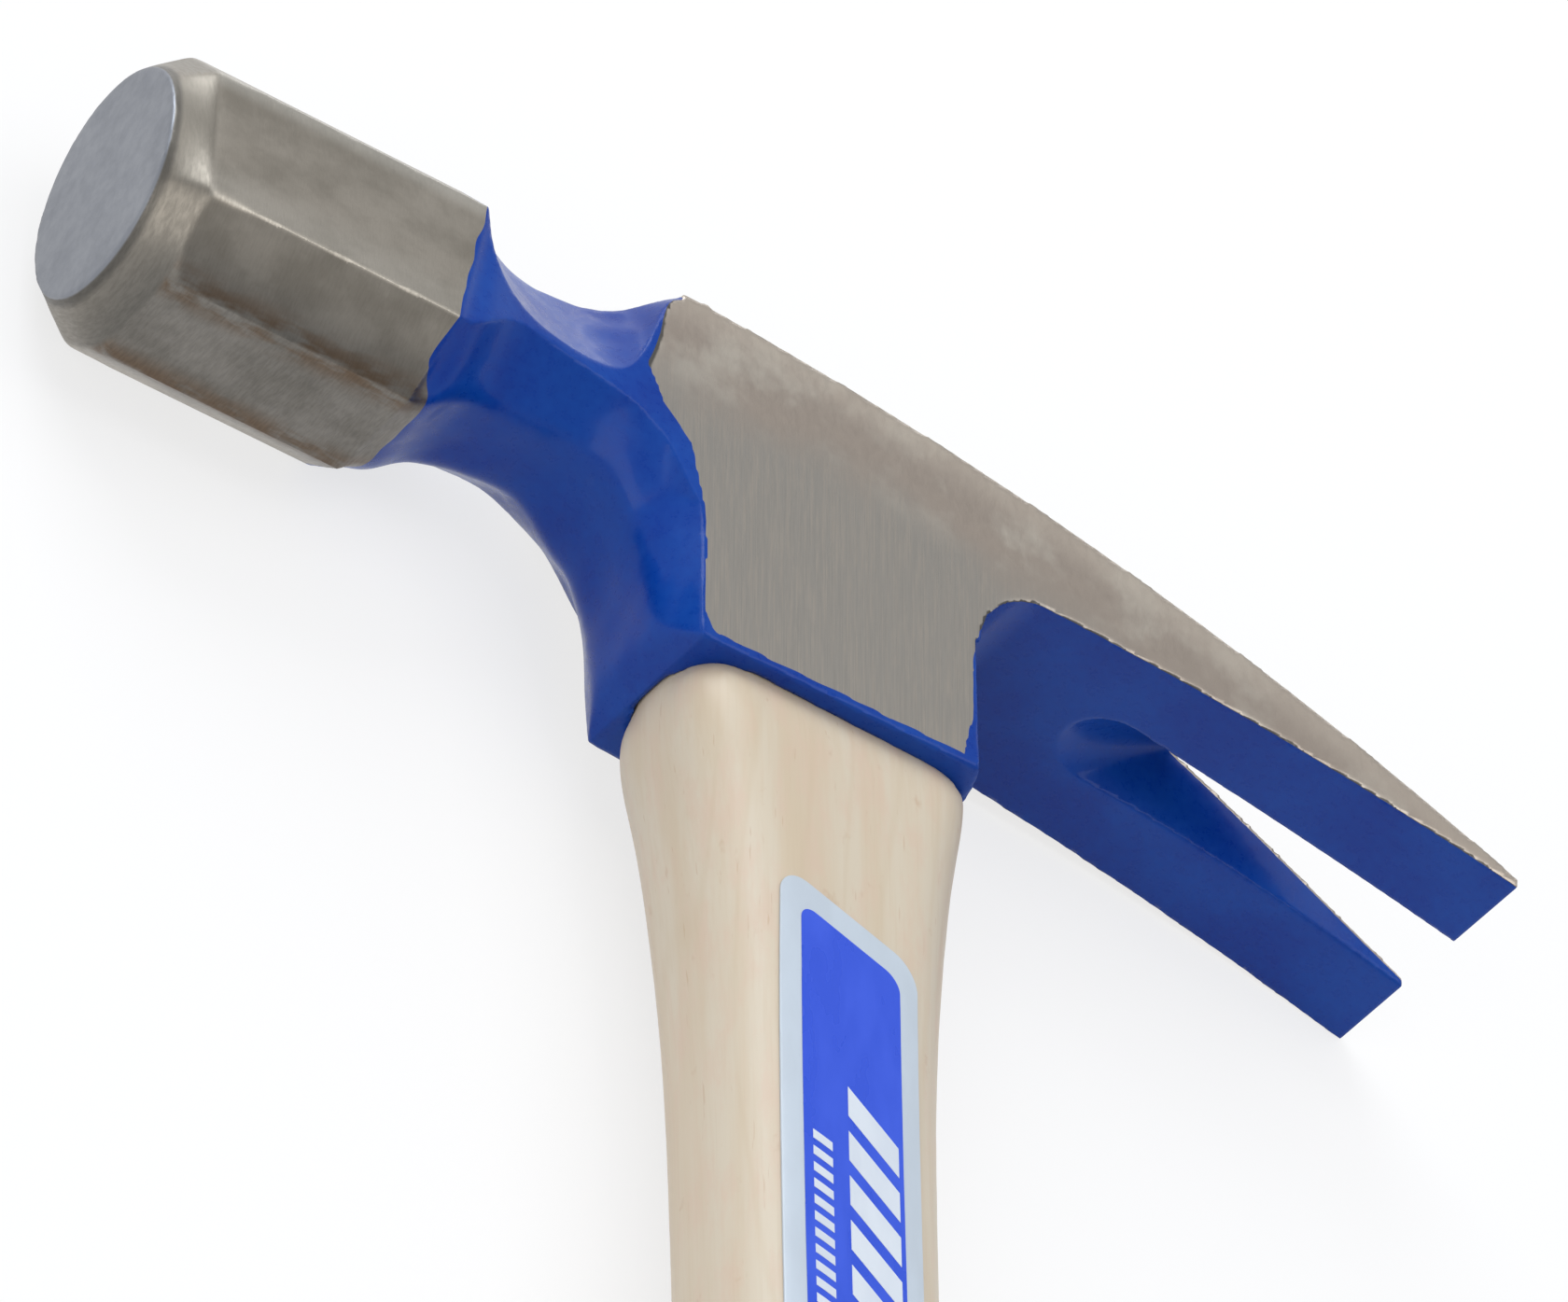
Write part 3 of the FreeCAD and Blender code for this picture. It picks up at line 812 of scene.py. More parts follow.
class SharpEdges:
    """A solid's sharp edges, onto which a fine mesh is drawn so that its corners are crisp."""

    spacing = 0.1 * MM
    bend_deg = 30.0
    held_share = 0.75

    def __init__(self, node: Node, turn_deg: float) -> None:
        """Find the edges.

        Args:
            node: The solid.
            turn_deg: The least angle between the two faces of a sharp edge.
        """
        solid = welded(node)
        self.surface = BVHTree.FromBMesh(solid)
        places, ways, meets = [], [], {}
        for edge in solid.edges:
            if len(edge.link_faces) != 2 or edge.calc_face_angle() < math.radians(turn_deg):
                continue
            first, second = edge.verts
            way = (second.co - first.co).normalized()
            count = math.ceil((second.co - first.co).length / self.spacing)
            for step in range(count + 1):
                places.append(first.co.lerp(second.co, step / count))
                ways.append(way)
            meets.setdefault(first, []).append(way)
            meets.setdefault(second, []).append(-way)
        self.places = np.array(places)
        self.ways = np.array(ways)
        self.tree = search_tree(self.places)
        straight = -math.cos(math.radians(self.bend_deg))
        self.corners = [v.co.copy() for v, out in meets.items()
                        if len(out) > 2 or (len(out) == 2 and out[0].dot(out[1]) > straight)]
        solid.free()

    def on_edge(self, places: np.ndarray) -> tuple:
        """Return the nearest places on sharp edges.

        Args:
            places: Points in metres.

        Returns:
            The nearest places, and how far away they are.
        """
        found = np.array([self.tree.find(place)[1] for place in places.tolist()])
        start, way = self.places[found], self.ways[found]
        reach = np.einsum("ij,ij->i", places - start, way)
        nearest = start + way * np.clip(reach, -self.spacing, self.spacing)[:, None]
        return nearest, np.linalg.norm(places - nearest, axis=1)

    def on_surface(self, places: np.ndarray) -> np.ndarray:
        """Return the nearest places on the solid, for points in metres."""
        return np.array([self.surface.find_nearest(place)[0] for place in places.tolist()])

    def settled(self, mesh: Mesh, grain_mm: float, passes: int) -> np.ndarray:
        """Return a fine mesh's vertices, drawn onto the solid and its edges and spread evenly.

        Args:
            mesh: The fine mesh, close to the solid.
            grain_mm: The size of its faces.
            passes: How often the vertices are spread.

        Returns:
            The places in millimetres from the head's origin.
        """
        places = self.on_surface(vertex_places(mesh) * MM + ORIGIN_ROW)
        nearest, gap = self.on_edge(places)
        held = gap < self.held_share * grain_mm * MM
        places[held] = nearest[held]
        finder = search_tree(places)
        free = np.ones(len(places), bool)
        for corner in self.corners:
            _, index, _ = finder.find(corner)
            places[index] = corner
            free[index] = False
        here, there = neighbours(mesh)
        counts = held[there] | ~held[here]
        here, there = here[counts], there[counts]
        free &= np.bincount(here, minlength=len(places)) > 0
        for _ in range(passes):
            places[free] += SMOOTH_STEP * (mean_place(places, here, there) - places)[free]
            places[free & ~held] = self.on_surface(places[free & ~held])
            places[free & held] = self.on_edge(places[free & held])[0]
        return (places - ORIGIN_ROW) / MM


@dataclass
class HammerHead:
    """The forged head: enamelled forging, with poll, sides and crown ground bare.

    Sizes are in millimetres. A pair of numbers in a fade is where it starts and where it is full.
    """

    face_x: float = -62.4
    face_y: float = 7.4
    poll_rise_deg: float = 3.0
    poll_height: float = 23.8
    poll_flat_width: float = 9.5
    poll_side_upper: float = 5.5
    poll_side_lower: float = 7.0
    ring_depth: float = 3.4
    poll_end_x: float = -35.6
    poll_end_lean_deg: float = 12.0
    neck_middle_x: float = -26.0
    side_half_width: float = 9.0
    side_flare_along_deg: float = 2.7
    side_flare_up_deg: float = 2.29
    crown_start: tuple = (-15.5, 13.3)
    crown_stop: tuple = (61.2, -11.1)
    crown_rise: float = 3.3
    boss_base_y: float = -20.3
    boss_base_slope: float = -0.0963
    eye_reach: tuple = (7.8, 6.9)
    eye_bare_y: float = -12.0
    cheek_outline: tuple = (
        (-15.7, 13.5), (-18.6, 9.8), (-18.7, 5.1), (-17.15, 1.9), (-14.6, -1.3), (-13.6, -6.4),
        (-13.33, -8.0), (-13.38, -16.6), (-12.4, -18.4), (9.95, -20.55), (10.9, -15.6),
        (10.85, -10.0), (11.45, -8.0), (12.1, -6.1), (12.9, -5.0), (14.7, -3.9))
    grain_mm: float = 0.33
    sharp_deg: float = 14.0
    settle_passes: int = 4
    neck_passes: int = 34
    ring_passes: int = 10
    edge_passes: int = 1
    on_crown_mm: float = 0.2
    ring_fade: tuple = ((0.7, 2.2), (-8.0, -5.0))
    side_fade: tuple = (0.3, 2.5)
    neck_fade: tuple = (0.1, 2.2)
    claw_fade: tuple = (14.0, 4.0)
    crown_fade: tuple = (0.3, 3.0)
    foot_fade: tuple = (0.3, 2.0)
    lump_mm: float = 0.10
    lumps: tuple = ((0.20, 1.0), (0.47, 0.5))
    paint_edge_mm: float = 0.05
    crown_edge_mm: float = 0.24
    bare_corner_mm: float = 0.8
    lower_bare_mm: float = 3.2
    lower_bare_shares: tuple = (0.40, 0.5)
    poll_paint_mm: float = 0.22
    waver_per_mm: float = 0.45
    cheek_waver_mm: float = 0.10
    poll_waver_mm: float = 0.3

    def crown_circle(self) -> tuple:
        """Return the centre and radius of the crown's arc, seen from the side.

        Returns:
            The centre's place along and up, and the radius.
        """
        start, stop = np.array(self.crown_start), np.array(self.crown_stop)
        chord = float(np.linalg.norm(stop - start))
        radius = (chord * chord / 4 + self.crown_rise ** 2) / (2 * self.crown_rise)
        normal = np.array((start[1] - stop[1], stop[0] - start[0])) / chord
        centre = (start + stop) / 2 - normal * (radius - self.crown_rise)
        return float(centre[0]), float(centre[1]), radius

    def side_depth(self, places: np.ndarray) -> np.ndarray:
        """Return how far points lie inside the ground side planes.

        Args:
            places: Points in millimetres from the head's origin.

        Returns:
            One depth for each point.
        """
        along, up, across = places.T
        flare = slope(self.side_flare_along_deg) * along + slope(self.side_flare_up_deg) * up
        return self.side_half_width + flare - np.abs(across)

    def crown_depth(self, places: np.ndarray) -> np.ndarray:
        """Return how far points lie under the crown."""
        centre_x, centre_y, radius = self.crown_circle()
        return radius - np.hypot(places[:, 0] - centre_x, places[:, 1] - centre_y)

    def over_poll_axis(self, places: np.ndarray) -> np.ndarray:
        """Return the height of points over the poll's axis."""
        rise = slope(self.poll_rise_deg)
        return places[:, 1] - self.face_y + rise * (places[:, 0] - self.face_x)

    def poll_end(self, places: np.ndarray) -> np.ndarray:
        """Return how far points lie ahead of the edge where the neck starts."""
        lean = slope(self.poll_end_lean_deg)
        return self.poll_end_x + lean * self.over_poll_axis(places) - places[:, 0]

    def inside_outline(self, places: np.ndarray) -> np.ndarray:
        """Return how far points lie inside the cheek's bare outline, seen from the side.

        Args:
            places: Points in millimetres from the head's origin.

        Returns:
            One distance for each point, below 0 outside.
        """
        corners = np.array(self.cheek_outline)
        nearest = np.full(len(places), np.inf)
        within = np.ones(len(places), bool)
        for start, stop in zip(corners, corners[1:]):
            length = np.linalg.norm(stop - start)
            way = (stop - start) / length
            reach = np.clip((places[:, :2] - start) @ way, 0.0, length)
            offset = places[:, :2] - start - reach[:, None] * way
            gap = np.linalg.norm(offset, axis=1)
            closer = gap < nearest
            nearest[closer] = gap[closer]
            within[closer] = (offset @ np.array((-way[1], way[0])))[closer] > 0
        return np.where(within, nearest, -nearest)

    def bare(self, places: np.ndarray) -> np.ndarray:
        """Return a field that is above 0 where the steel is bare.

        Args:
            places: Points in millimetres from the head's origin.

        Returns:
            One number for each point, about a distance in millimetres near 0.
        """
        along, up, across = places.T
        waver = np.array([noise.noise(Vector(p) * self.waver_per_mm) for p in places])
        side = self.side_depth(places)
        crown = self.crown_depth(places)
        on_cheek = self.inside_outline(places) + self.cheek_waver_mm * waver
        on_cheek = np.where(along > self.cheek_outline[-1][0], np.inf, on_cheek)
        on_side = np.minimum(self.paint_edge_mm - side, on_cheek)
        on_crown = np.maximum(self.crown_edge_mm - crown, self.bare_corner_mm - side - crown)
        on_crown = np.minimum(on_crown, along - self.crown_start[0])
        lowest = [share * self.poll_height for share in self.lower_bare_shares]
        low = smooth_step(-self.over_poll_axis(places), *lowest)
        on_poll = (self.poll_end(places) + self.lower_bare_mm * low - self.poll_paint_mm
                   + self.poll_waver_mm * waver)
        on_poll = np.where(along < self.neck_middle_x, on_poll, -1.0)
        in_eye = (np.abs(along) < self.eye_reach[0]) & (np.abs(across) < self.eye_reach[1])
        on_eye = np.where(in_eye & (up > self.eye_bare_y), 1.0, -1.0)
        return np.maximum.reduce([on_side, on_crown, on_poll, on_eye])

    def painted(self, places: np.ndarray) -> np.ndarray:
        """Return how freely the enamelled forging's edges are rounded, from 0 to 1.

        Args:
            places: Points in millimetres from the head's origin.

        Returns:
            One number for each point, 0 near the ground faces, the claws and the boss's foot.
        """
        over_foot = places[:, 1] - self.boss_base_y - self.boss_base_slope * places[:, 0]
        free = smooth_step(self.side_depth(places), *self.side_fade)
        free *= smooth_step(-self.poll_end(places), *self.neck_fade)
        free *= smooth_step(places[:, 0], *self.claw_fade)
        free *= smooth_step(self.crown_depth(places), *self.crown_fade)
        return free * smooth_step(over_foot, *self.foot_fade)

    def on_crown(self, places: np.ndarray) -> np.ndarray:
        """Return the places, with those next to the crown's arc moved onto it.

        Args:
            places: Points in millimetres from the head's origin.

        Returns:
            The new places.
        """
        depth = self.crown_depth(places)
        outward = places[:, :2] - np.array(self.crown_circle()[:2])
        outward /= np.linalg.norm(outward, axis=1)[:, None]
        near = (np.abs(depth) < self.on_crown_mm) & (places[:, 0] > self.crown_start[0])
        places[near, :2] += outward[near] * depth[near, None]
        return places

    def mesh(self) -> Mesh:
        """Return the head's fine mesh, with soft enamel corners and crisp ground ones.

        Returns:
            The whole head's mesh, in the row frame.
        """
        mesh = forged_copy(Node.HEAD, self.grain_mm)
        edges = SharpEdges(Node.HEAD, self.sharp_deg)
        places = self.on_crown(edges.settled(mesh, self.grain_mm, self.settle_passes))
        painted = self.painted(places)
        rise = slope(self.poll_rise_deg)
        behind = places[:, 0] - self.face_x - rise * (places[:, 1] - self.face_y)
        start, stop = self.ring_fade
        ring = smooth_step(behind, *start) * smooth_step(-behind, *stop)
        for free, passes in ((ring, self.ring_passes), (np.ones(len(places)), self.edge_passes),
                             (painted, self.neck_passes)):
            places = smoothed(mesh, places, free, passes)
        place_vertices(mesh, places)
        normals = mesh_rows(mesh.vertices, "normal", 3, np.float32).astype(float)
        lumps = np.array([sum(share * noise.noise(Vector(p) * per_mm)
                              for per_mm, share in self.lumps) for p in places])
        place_vertices(mesh, places + normals * (self.lump_mm * lumps * painted)[:, None])
        return mesh

    def split(self, mesh: Mesh) -> tuple:
        """Cut a mesh along the edge of the paint.

        Args:
            mesh: The whole head.

        Returns:
            The bare mesh and the painted mesh.
        """
        work = bmesh.new()
        work.from_mesh(mesh)
        values = dict(zip(work.verts, self.bare(vertex_places(mesh))))
        border = []
        for edge in list(work.edges):
            first, second = edge.verts
            start, stop = values[first], values[second]
            if (start > 0) != (stop > 0):
                point = bmesh.utils.edge_split(edge, first, float(start / (start - stop)))[1]
                values[point] = 0.0
                border.append(point)
        bmesh.ops.connect_verts(work, verts=border)
        work.verts.index_update()
        work.faces.index_update()
        is_bare = [sum(values[vert] for vert in face.verts) > 0 for face in work.faces]
        halves = []
        for kept in (True, False):
            part = work.copy()
            gone = [face for face, bare in zip(part.faces, is_bare) if bare != kept]
            bmesh.ops.delete(part, geom=gone, context="FACES")
            half = bpy.data.meshes.new("head_half")
            part.to_mesh(half)
            part.free()
            half.shade_smooth()
            halves.append(half)
        work.free()
        return tuple(halves)

    def build(self) -> None:
        """Build and dress the head."""
        bare_mesh, painted_mesh = self.split(self.mesh())
        bright = GroundSteel(self).material()
        steel = show("head_ground_steel", bare_mesh, bright)
        enamel = show("head_enamel", painted_mesh, Enamel().material())
        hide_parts(Node.HEAD.value)
        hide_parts(Node.HEAD.value)


@dataclass
class Handle:
    """The hickory handle with its tenon, and the wedges in the eye."""

    grain_mm: float = 0.62
    passes: int = 3
    wedge_wood: Wood = Wood(name="wedge_wood", pale=(0.50, 0.36, 0.21, 1.0),
                            warm=(0.44, 0.29, 0.16, 1.0), rosy=(0.46, 0.28, 0.16, 1.0),
                            late=(0.33, 0.20, 0.10, 1.0))
    wedge_steel: CloudyFinish = CloudyFinish(
        "wedge_steel", (0.38, 0.37, 0.35, 1.0), (0.22, 0.20, 0.18, 1.0), (0.36, 0.52),
        Grain((0.9, 0.9, 0.9), 4.0, 0.6, 0.35, 0.66), Grain((3.0, 3.0, 3.0), 2.0), 0.03,
        metallic=1.0, coat=0.0)

    def build(self) -> Object:
        """Build and dress the handle, and dress the wedges.

        Returns:
            The handle's piece.
        """
        mesh = forged_copy(Node.HANDLE, self.grain_mm)
        places = vertex_places(mesh)
        place_vertices(mesh, smoothed(mesh, places, np.ones(len(places)), self.passes))
        handle = show("handle_wood", mesh, Wood().material())
        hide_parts(Node.HANDLE.value)
        self.dress(Node.EYE_WEDGE, self.wedge_wood.material())
        steel = self.wedge_steel.material()
        self.dress(Node.FRONT_WEDGE, steel)
        self.dress(Node.REAR_WEDGE, steel)
        return handle

    def dress(self, node: Node, material: Material) -> None:
        """Give a solid of the frame its material."""
        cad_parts[node.value].data.materials[0] = material
        LOG.info("%s: dressed", node.value)


@dataclass(frozen=True)
class Patch:
    """A flat shape with slanted ends and rounded corners, in millimetres from the head's origin."""

    left: float
    right: float
    top: float
    length: float
    slant_deg: float
    corner: float

    def columns(self, count: int) -> np.ndarray:
        """Return places across the patch, closer together towards its sides."""
        turn = np.linspace(0.0, math.pi, count)
        return (self.left + self.right) / 2 - (self.right - self.left) / 2 * np.cos(turn)

    def ends(self, across: float) -> tuple:
        """Return the lowest and highest point of the patch at a place across it.

        Args:
            across: The place across the patch.

        Returns:
            The two points' places along the handle.
        """
        inset = self.corner - min(across - self.left, self.right - across, self.corner)
        trim = self.corner - math.sqrt(max(self.corner ** 2 - inset ** 2, 0.0))
        line = self.top - slope(self.slant_deg) * (across - self.left)
        return line - self.length + trim, line - trim


class StripeRow(Graph):
    """A row of plain slanted bars that lies on a surface."""

    inputs = (("Object", "Surface"), ("Material", "Material"), ("Vector", "Start"),
              ("Vector", "Step"), ("Int", "Count"), ("Float", "Bar Length"),
              ("Float", "Bar Width"), ("Float", "Slant"), ("Float", "Lift"),
              ("Float", "Thickness"))
    bar_columns = 22
    bar_rows = 12
    weld = 0.001 * MM

    def __init__(self) -> None:
        """Build the node tree, with its sizes as named inputs."""
        super().__init__(bpy.data.node_groups.new("stripe_row", "GeometryNodeTree"))
        face = self.tree.interface
        self.keys = {name: face.new_socket(name=name, in_out="INPUT",
                                           socket_type="NodeSocket" + kind).identifier
                     for kind, name in self.inputs}
        face.new_socket(name="Bars", in_out="OUTPUT", socket_type="NodeSocketGeometry")
        sizes = self.add("NodeGroupInput", {}).outputs
        draped = self.draped(self.flat_bars(sizes), sizes)
        depth = self.first("CombineXYZ", {2: self.times(sizes["Thickness"], -1.0)})
        rim = self.first("GeometryNodeExtrudeMesh", {
            "Mesh": draped, "Offset": depth, "Offset Scale": 1.0, "Individual": False})
        flipped = self.first("GeometryNodeFlipFaces", {0: rim})
        both = self.add("GeometryNodeJoinGeometry", {})
        for part in (flipped, draped):
            self.tree.links.new(part, both.inputs[0])
        closed = self.first("GeometryNodeMergeByDistance",
                            {0: both.outputs[0], "Distance": self.weld})
        dressed = self.first("GeometryNodeSetMaterial", {0: closed, "Material": sizes["Material"]})
        self.add("NodeGroupOutput", {0: dressed})

    def flat_bars(self, sizes: bpy.types.NodeOutputs) -> NodeSocket:
        """Return the row of slanted bars, flat, from the tree's inputs.

        Args:
            sizes: The tree's inputs.

        Returns:
            The bars.
        """
        grid = self.first("GeometryNodeMeshGrid", {
            "Size X": sizes["Bar Length"], "Size Y": sizes["Bar Width"],
            "Vertices X": self.bar_columns, "Vertices Y": self.bar_rows})
        across = self.first("SeparateXYZ", {0: self.first("GeometryNodeInputPosition", {})})
        shift = self.first("CombineXYZ", {1: self.times(across, sizes["Slant"])})
        bar = self.first("GeometryNodeSetPosition", {"Geometry": grid, "Offset": shift})
        line = self.first("GeometryNodeMeshLine", {
            "Count": sizes["Count"], "Start Location": sizes["Start"], "Offset": sizes["Step"]})
        rows = self.first("GeometryNodeInstanceOnPoints", {"Points": line, "Instance": bar})
        return self.first("GeometryNodeRealizeInstances", {0: rows})

    def draped(self, bars: NodeSocket, sizes: bpy.types.NodeOutputs) -> NodeSocket:
        """Return the bars laid on the surface.

        Args:
            bars: The flat bars, above the surface.
            sizes: The tree's inputs.

        Returns:
            The bars' upper sides.
        """
        surface = self.add("GeometryNodeObjectInfo", {0: sizes["Surface"]},
                           transform_space="ORIGINAL").outputs["Geometry"]
        place = self.first("GeometryNodeInputPosition", {})
        above = self.first("VectorMath", {0: place, 1: RAY_START}, operation="ADD")
        ray = self.add("GeometryNodeRaycast", {
            "Target Geometry": surface, "Source Position": above,
            "Ray Direction": RAY_WAY, "Ray Length": RAY_LENGTH}).outputs
        lift = self.first("CombineXYZ", {2: sizes["Lift"]})
        lifted = self.first("VectorMath", {0: ray["Hit Position"], 1: lift}, operation="ADD")
        return self.first("GeometryNodeSetPosition", {
            "Geometry": bars, "Selection": ray["Is Hit"], "Position": lifted})

    def mesh(self, sizes: dict) -> Mesh:
        """Return a plain mesh of the row.

        Args:
            sizes: Input name to its value.

        Returns:
            The mesh.
        """
        scratch = placed("scratch", bpy.data.meshes.new("scratch"))
        modifier = scratch.modifiers.new("row", "NODES")
        modifier.node_group = self.tree
        for name, value in sizes.items():
            modifier[self.keys[name]] = value
        return evaluated_mesh(scratch)


@dataclass
class Label:
    """The film label: a pale border, a plain blue panel and plain pale bars.

    A row of bars has its name, its start across and along the handle, its step, its count, and
    each bar's length, width and slant.
    """

    film: Patch = Patch(-6.6, 5.7, -37.9, 62.0, 21.6, 2.2)
    panel: Patch = Patch(-4.95, 3.95, -40.9, 56.4, 21.6, 1.3)
    film_ink: CloudyFinish = CloudyFinish(
        "label_film", (0.500, 0.565, 0.640, 1.0), (0.470, 0.530, 0.600, 1.0))
    panel_ink: CloudyFinish = CloudyFinish(
        "label_panel", (0.016, 0.070, 0.600, 1.0), (0.022, 0.082, 0.650, 1.0), (0.26, 0.36))
    pale_ink: CloudyFinish = CloudyFinish(
        "label_bars", (0.640, 0.690, 0.760, 1.0), (0.580, 0.630, 0.710, 1.0))
    bar_rows: tuple = (("label_wide_bars", (1.25, -59.7), -4.1, 9, 4.5, 2.7, -0.85),
                       ("label_short_bars", (-3.35, -62.4), -1.5, 23, 1.7, 0.8, -0.35))
    bar_height: float = 8.0
    film_lift: float = 0.21
    panel_lift: float = 0.035
    bar_lift: float = 0.03
    film_thickness: float = 0.14
    print_thickness: float = 0.03
    column_count: int = 37
    cell: float = 0.45
    smooth_passes: int = 6
    own_share: float = 0.4
    neighbour_share: float = 0.15
    sharp_deg: float = 40.0

    def draped(self, patch: Patch, surface: BVHTree, lift: float, thickness: float) -> Mesh:
        """Return a patch laid on a surface.

        Args:
            patch: The patch's outline.
            surface: What it lies on.
            lift: How far its outer side stands off.
            thickness: How thick it is.

        Returns:
            The mesh.
        """
        columns = patch.columns(self.column_count)
        rows = int(patch.length / self.cell)
        grid = np.empty((len(columns), rows + 1, 3))
        for index, across in enumerate(columns):
            low, high = patch.ends(across)
            for row, along in enumerate(np.linspace(low, high, rows + 1)):
                place = Vector((across, along, 0.0)) * MM + HEAD_ORIGIN
                hit = surface.ray_cast(place + RAY_START, RAY_WAY)[0]
                grid[index, row] = hit + Vector((0.0, 0.0, lift * MM))
        height = grid[:, :, 2]
        for _ in range(self.smooth_passes):
            inner = height[1:-1, 1:-1]
            around = height[:-2, 1:-1] + height[2:, 1:-1] + height[1:-1, :-2] + height[1:-1, 2:]
            height[1:-1, 1:-1] = inner * self.own_share + around * self.neighbour_share
        return closed_sheet(grid, thickness * MM, self.sharp_deg)

    def build(self, handle: Object) -> None:
        """Build and dress the label on the handle.

        Args:
            handle: The handle's piece.
        """
        wood = surface_tree(handle)
        film_mesh = self.draped(self.film, wood, self.film_lift, self.film_thickness)
        film = show("label_film", film_mesh, self.film_ink.material())
        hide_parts(Node.LABEL.value)
        panel_lift = self.film_lift + self.panel_lift
        panel_mesh = self.draped(self.panel, wood, panel_lift, self.print_thickness)
        panel = show("label_panel", panel_mesh, self.panel_ink.material())
        stripes = StripeRow()
        ink = self.pale_ink.material()
        for name, start, step, count, length, width, slant in self.bar_rows:
            sizes = {"Surface": panel, "Material": ink, "Count": count,
                     "Start": tuple(Vector((*start, self.bar_height)) * MM + HEAD_ORIGIN),
                     "Step": (0.0, step * MM, 0.0), "Bar Length": length * MM,
                     "Bar Width": width * MM, "Slant": slant, "Lift": self.bar_lift * MM,
                     "Thickness": self.print_thickness * MM}
            show(name, stripes.mesh(sizes), ink)


def closed_sheet(grid: np.ndarray, thickness: float, sharp_deg: float) -> Mesh:
    """Return a closed thin mesh under a grid of points.

    Args:
        grid: The upper side's points, by column and row.
        thickness: How far the lower side lies below, in metres.
        sharp_deg: The least angle at which an edge shows sharp.

    Returns:
        The mesh, with sharp rims.
    """
    columns, rows, _ = grid.shape
    upper = grid.reshape(-1, 3)
    lower = upper - np.array((0.0, 0.0, thickness))
    index = np.arange(columns * rows).reshape(columns, rows)
    cells = [index[:-1, :-1], index[1:, :-1], index[1:, 1:], index[:-1, 1:]]
    cells = np.stack(cells, -1).reshape(-1, 4)
    rim = np.concatenate([index[:, 0], index[-1, 1:], index[-2::-1, -1], index[0, -2:0:-1]])
    following = np.roll(rim, -1)
    below = columns * rows
    sides = np.stack([rim, rim + below, following + below, following], -1)
    faces = np.concatenate([cells, cells[:, ::-1] + below, sides])
    mesh = bpy.data.meshes.new("patch")
    mesh.from_pydata(np.concatenate([upper, lower]).tolist(), [], faces.tolist())
    mesh.shade_smooth()
    mesh.set_sharp_from_angle(angle=math.radians(sharp_deg))
    mesh.update()
    return mesh


def surface_tree(piece: Object) -> BVHTree:
    """Return a search tree of a piece's surface.

    Args:
        piece: The piece.

    Returns:
        The tree.
    """
    work = bmesh.new()
    work.from_mesh(piece.data)
    tree = BVHTree.FromBMesh(work)
    work.free()
    return tree


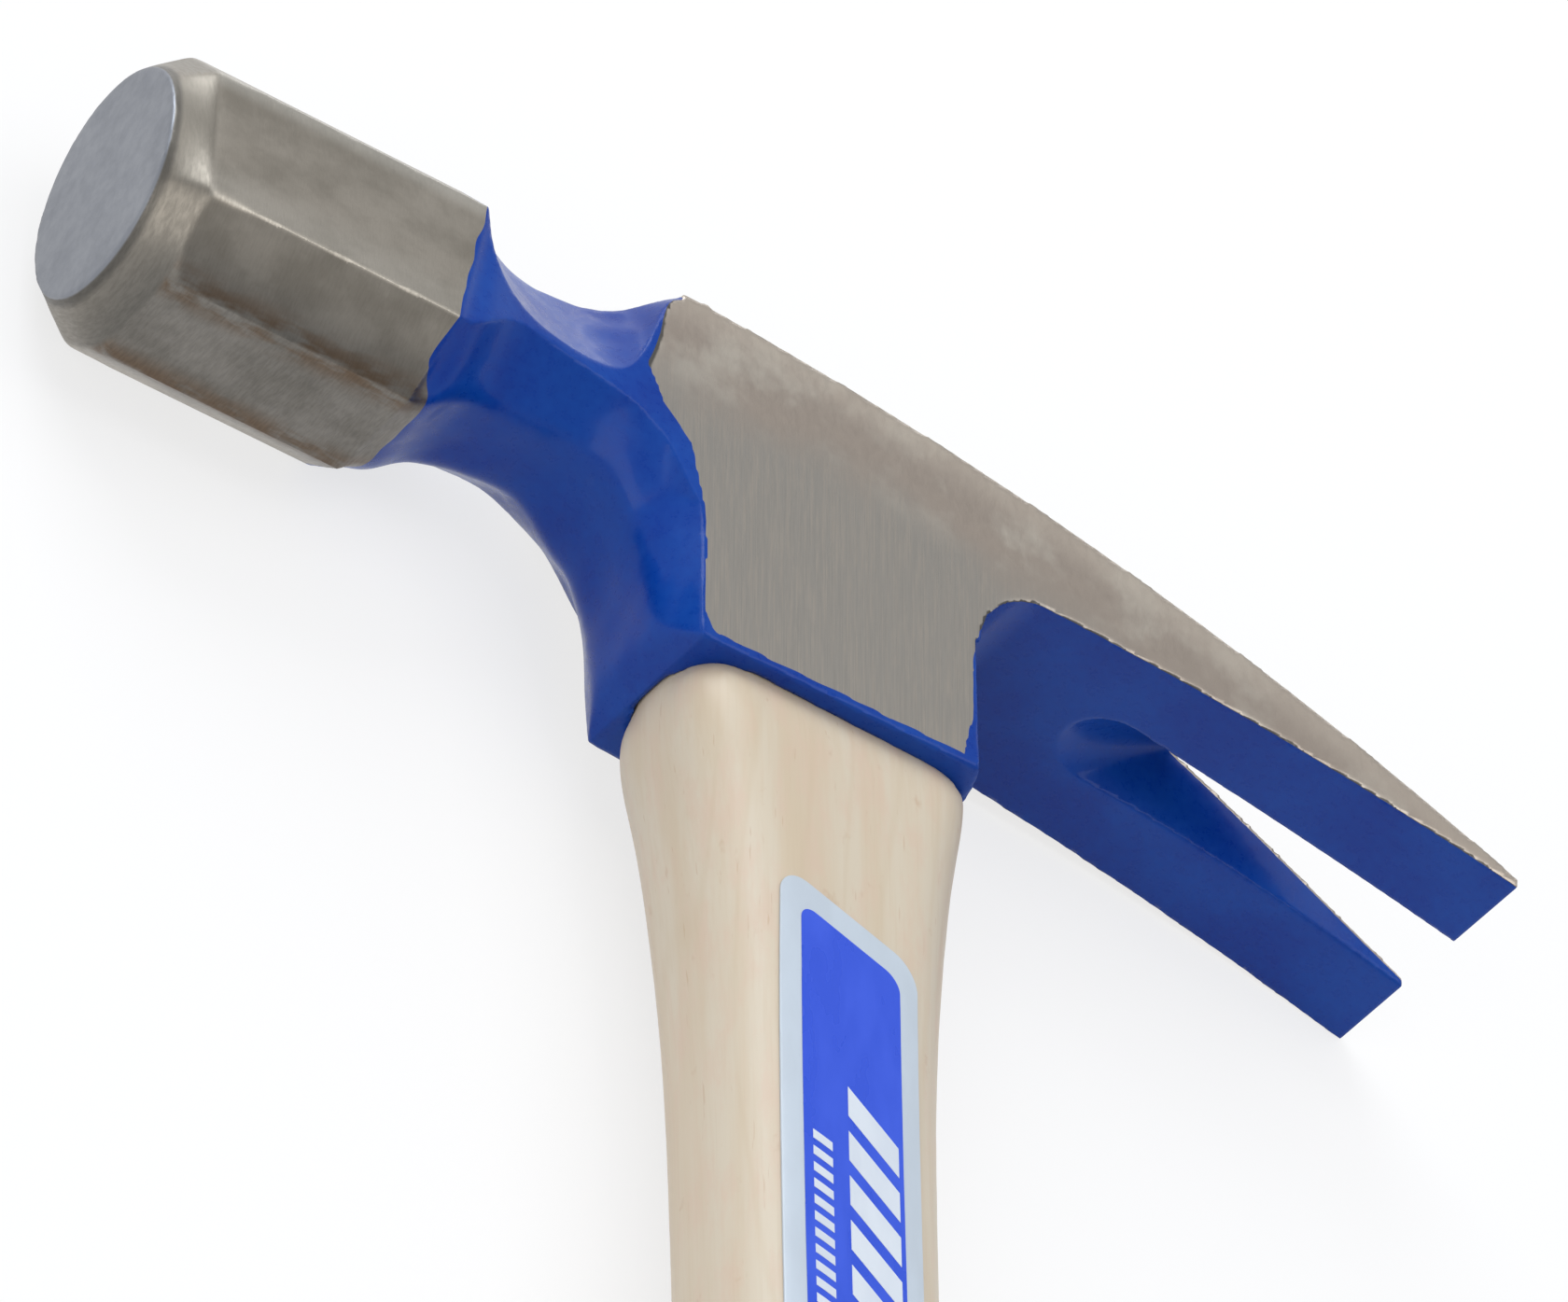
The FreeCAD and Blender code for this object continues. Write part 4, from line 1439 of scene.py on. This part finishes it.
@dataclass
class Studio:
    """The photograph's camera, a pale floor and soft light, in metres.

    A lamp has its name, its place, the side of its square face, its power in watts and its colour.
    """

    camera_place: tuple = (-0.44877, -0.52658, 0.62185)
    right: tuple = (0.8151, -0.0198, 0.5790)
    down: tuple = (0.3623, -0.7624, -0.5362)
    focal_mm: float = 299.95
    sensor_mm: float = 36.0
    clip: tuple = (0.05, 20.0)
    floor_size: float = 6.0
    floor_cells: int = 8
    room_light: tuple = (0.93, 0.96, 1.0, 1.0)
    room_shown: tuple = (0.97, 0.985, 1.0, 1.0)
    sky_strength: float = 0.62
    sky_fall: tuple = (0.12, 0.60, 1.0, 0.50)
    near_fall: tuple = (-0.65, -0.15, 0.85, 1.0)
    lamp_aim: tuple = (0.0, 0.10, 0.0)
    lamps: tuple = (("far_window", (-0.55, 1.15, 0.85), 0.9, 11.0, (0.92, 0.96, 1.0)),
                    ("near_window", (-1.0, -0.5, 0.75), 0.8, 3.2, (1.0, 0.98, 0.95)),
                    ("roof", (0.35, 0.15, 1.5), 1.2, 7.0, (1.0, 0.99, 0.97)))

    def camera(self) -> None:
        """Create the camera at the photograph's place and angle."""
        data = bpy.data.cameras.new("photo_camera")
        data.sensor_fit = "HORIZONTAL"
        data.sensor_width = self.sensor_mm
        data.lens = self.focal_mm
        data.clip_start, data.clip_end = self.clip
        right = Vector(self.right).normalized()
        back = right.cross(-Vector(self.down)).normalized()
        turn = Matrix((right, back.cross(right), back)).transposed().to_4x4()
        camera = placed("photo_camera", data)
        camera.matrix_world = Matrix.Translation(self.camera_place) @ turn
        bpy.context.scene.camera = camera

    def floor(self) -> None:
        """Lay the pale floor under the object."""
        work = bmesh.new()
        bmesh.ops.create_grid(work, x_segments=self.floor_cells, y_segments=self.floor_cells,
                              size=self.floor_size / 2)
        mesh = bpy.data.meshes.new("studio_floor")
        work.to_mesh(mesh)
        work.free()
        mesh.materials.append(PaleFloor().material())
        floor = placed("studio_floor", mesh)

    def light(self) -> None:
        """Hang the soft lamps, all pointed at the head."""
        for name, place, size, watts, tint in self.lamps:
            data = bpy.data.lights.new(name, "AREA")
            data.size = size
            data.energy = watts
            data.color = tint
            lamp = placed(name, data)
            lamp.location = place
            aim = Vector(self.lamp_aim) - Vector(place)
            lamp.rotation_euler = aim.to_track_quat("-Z", "Y").to_euler()

    def sky(self) -> None:
        """Light the room softly, and show it white at the far horizon and greyer elsewhere."""
        world = bpy.data.worlds.new("studio_room")
        world.use_nodes = True
        graph = Graph(world.node_tree)
        way = graph.add("TexCoord", {}).outputs["Generated"]
        _, near, height = graph.add("SeparateXYZ", {0: way}).outputs
        strength = graph.times(graph.grade(height, *self.sky_fall),
                               graph.grade(near, *self.near_fall))
        room = graph.first("Background", {"Color": self.room_light, "Strength": self.sky_strength})
        shown = graph.first("Background", {"Color": self.room_shown, "Strength": strength})
        mixed = graph.first("MixShader", {0: graph.seen(), 1: room, 2: shown})
        graph.add("OutputWorld", {"Surface": mixed})
        bpy.context.scene.world = world

    def build(self) -> None:
        """Set up the camera, floor and light."""
        self.camera()
        self.floor()
        self.sky()
        self.light()
        bpy.context.scene.view_settings.view_transform = "Standard"


def main() -> None:
    """Build the hammer and the studio around the frame."""
    logging.basicConfig(level=logging.INFO, format="%(name)s %(message)s")
    HammerHead().build()
    handle = Handle().build()
    Label().build(handle)
    Studio().build()


if __name__ == "__main__":
    main()
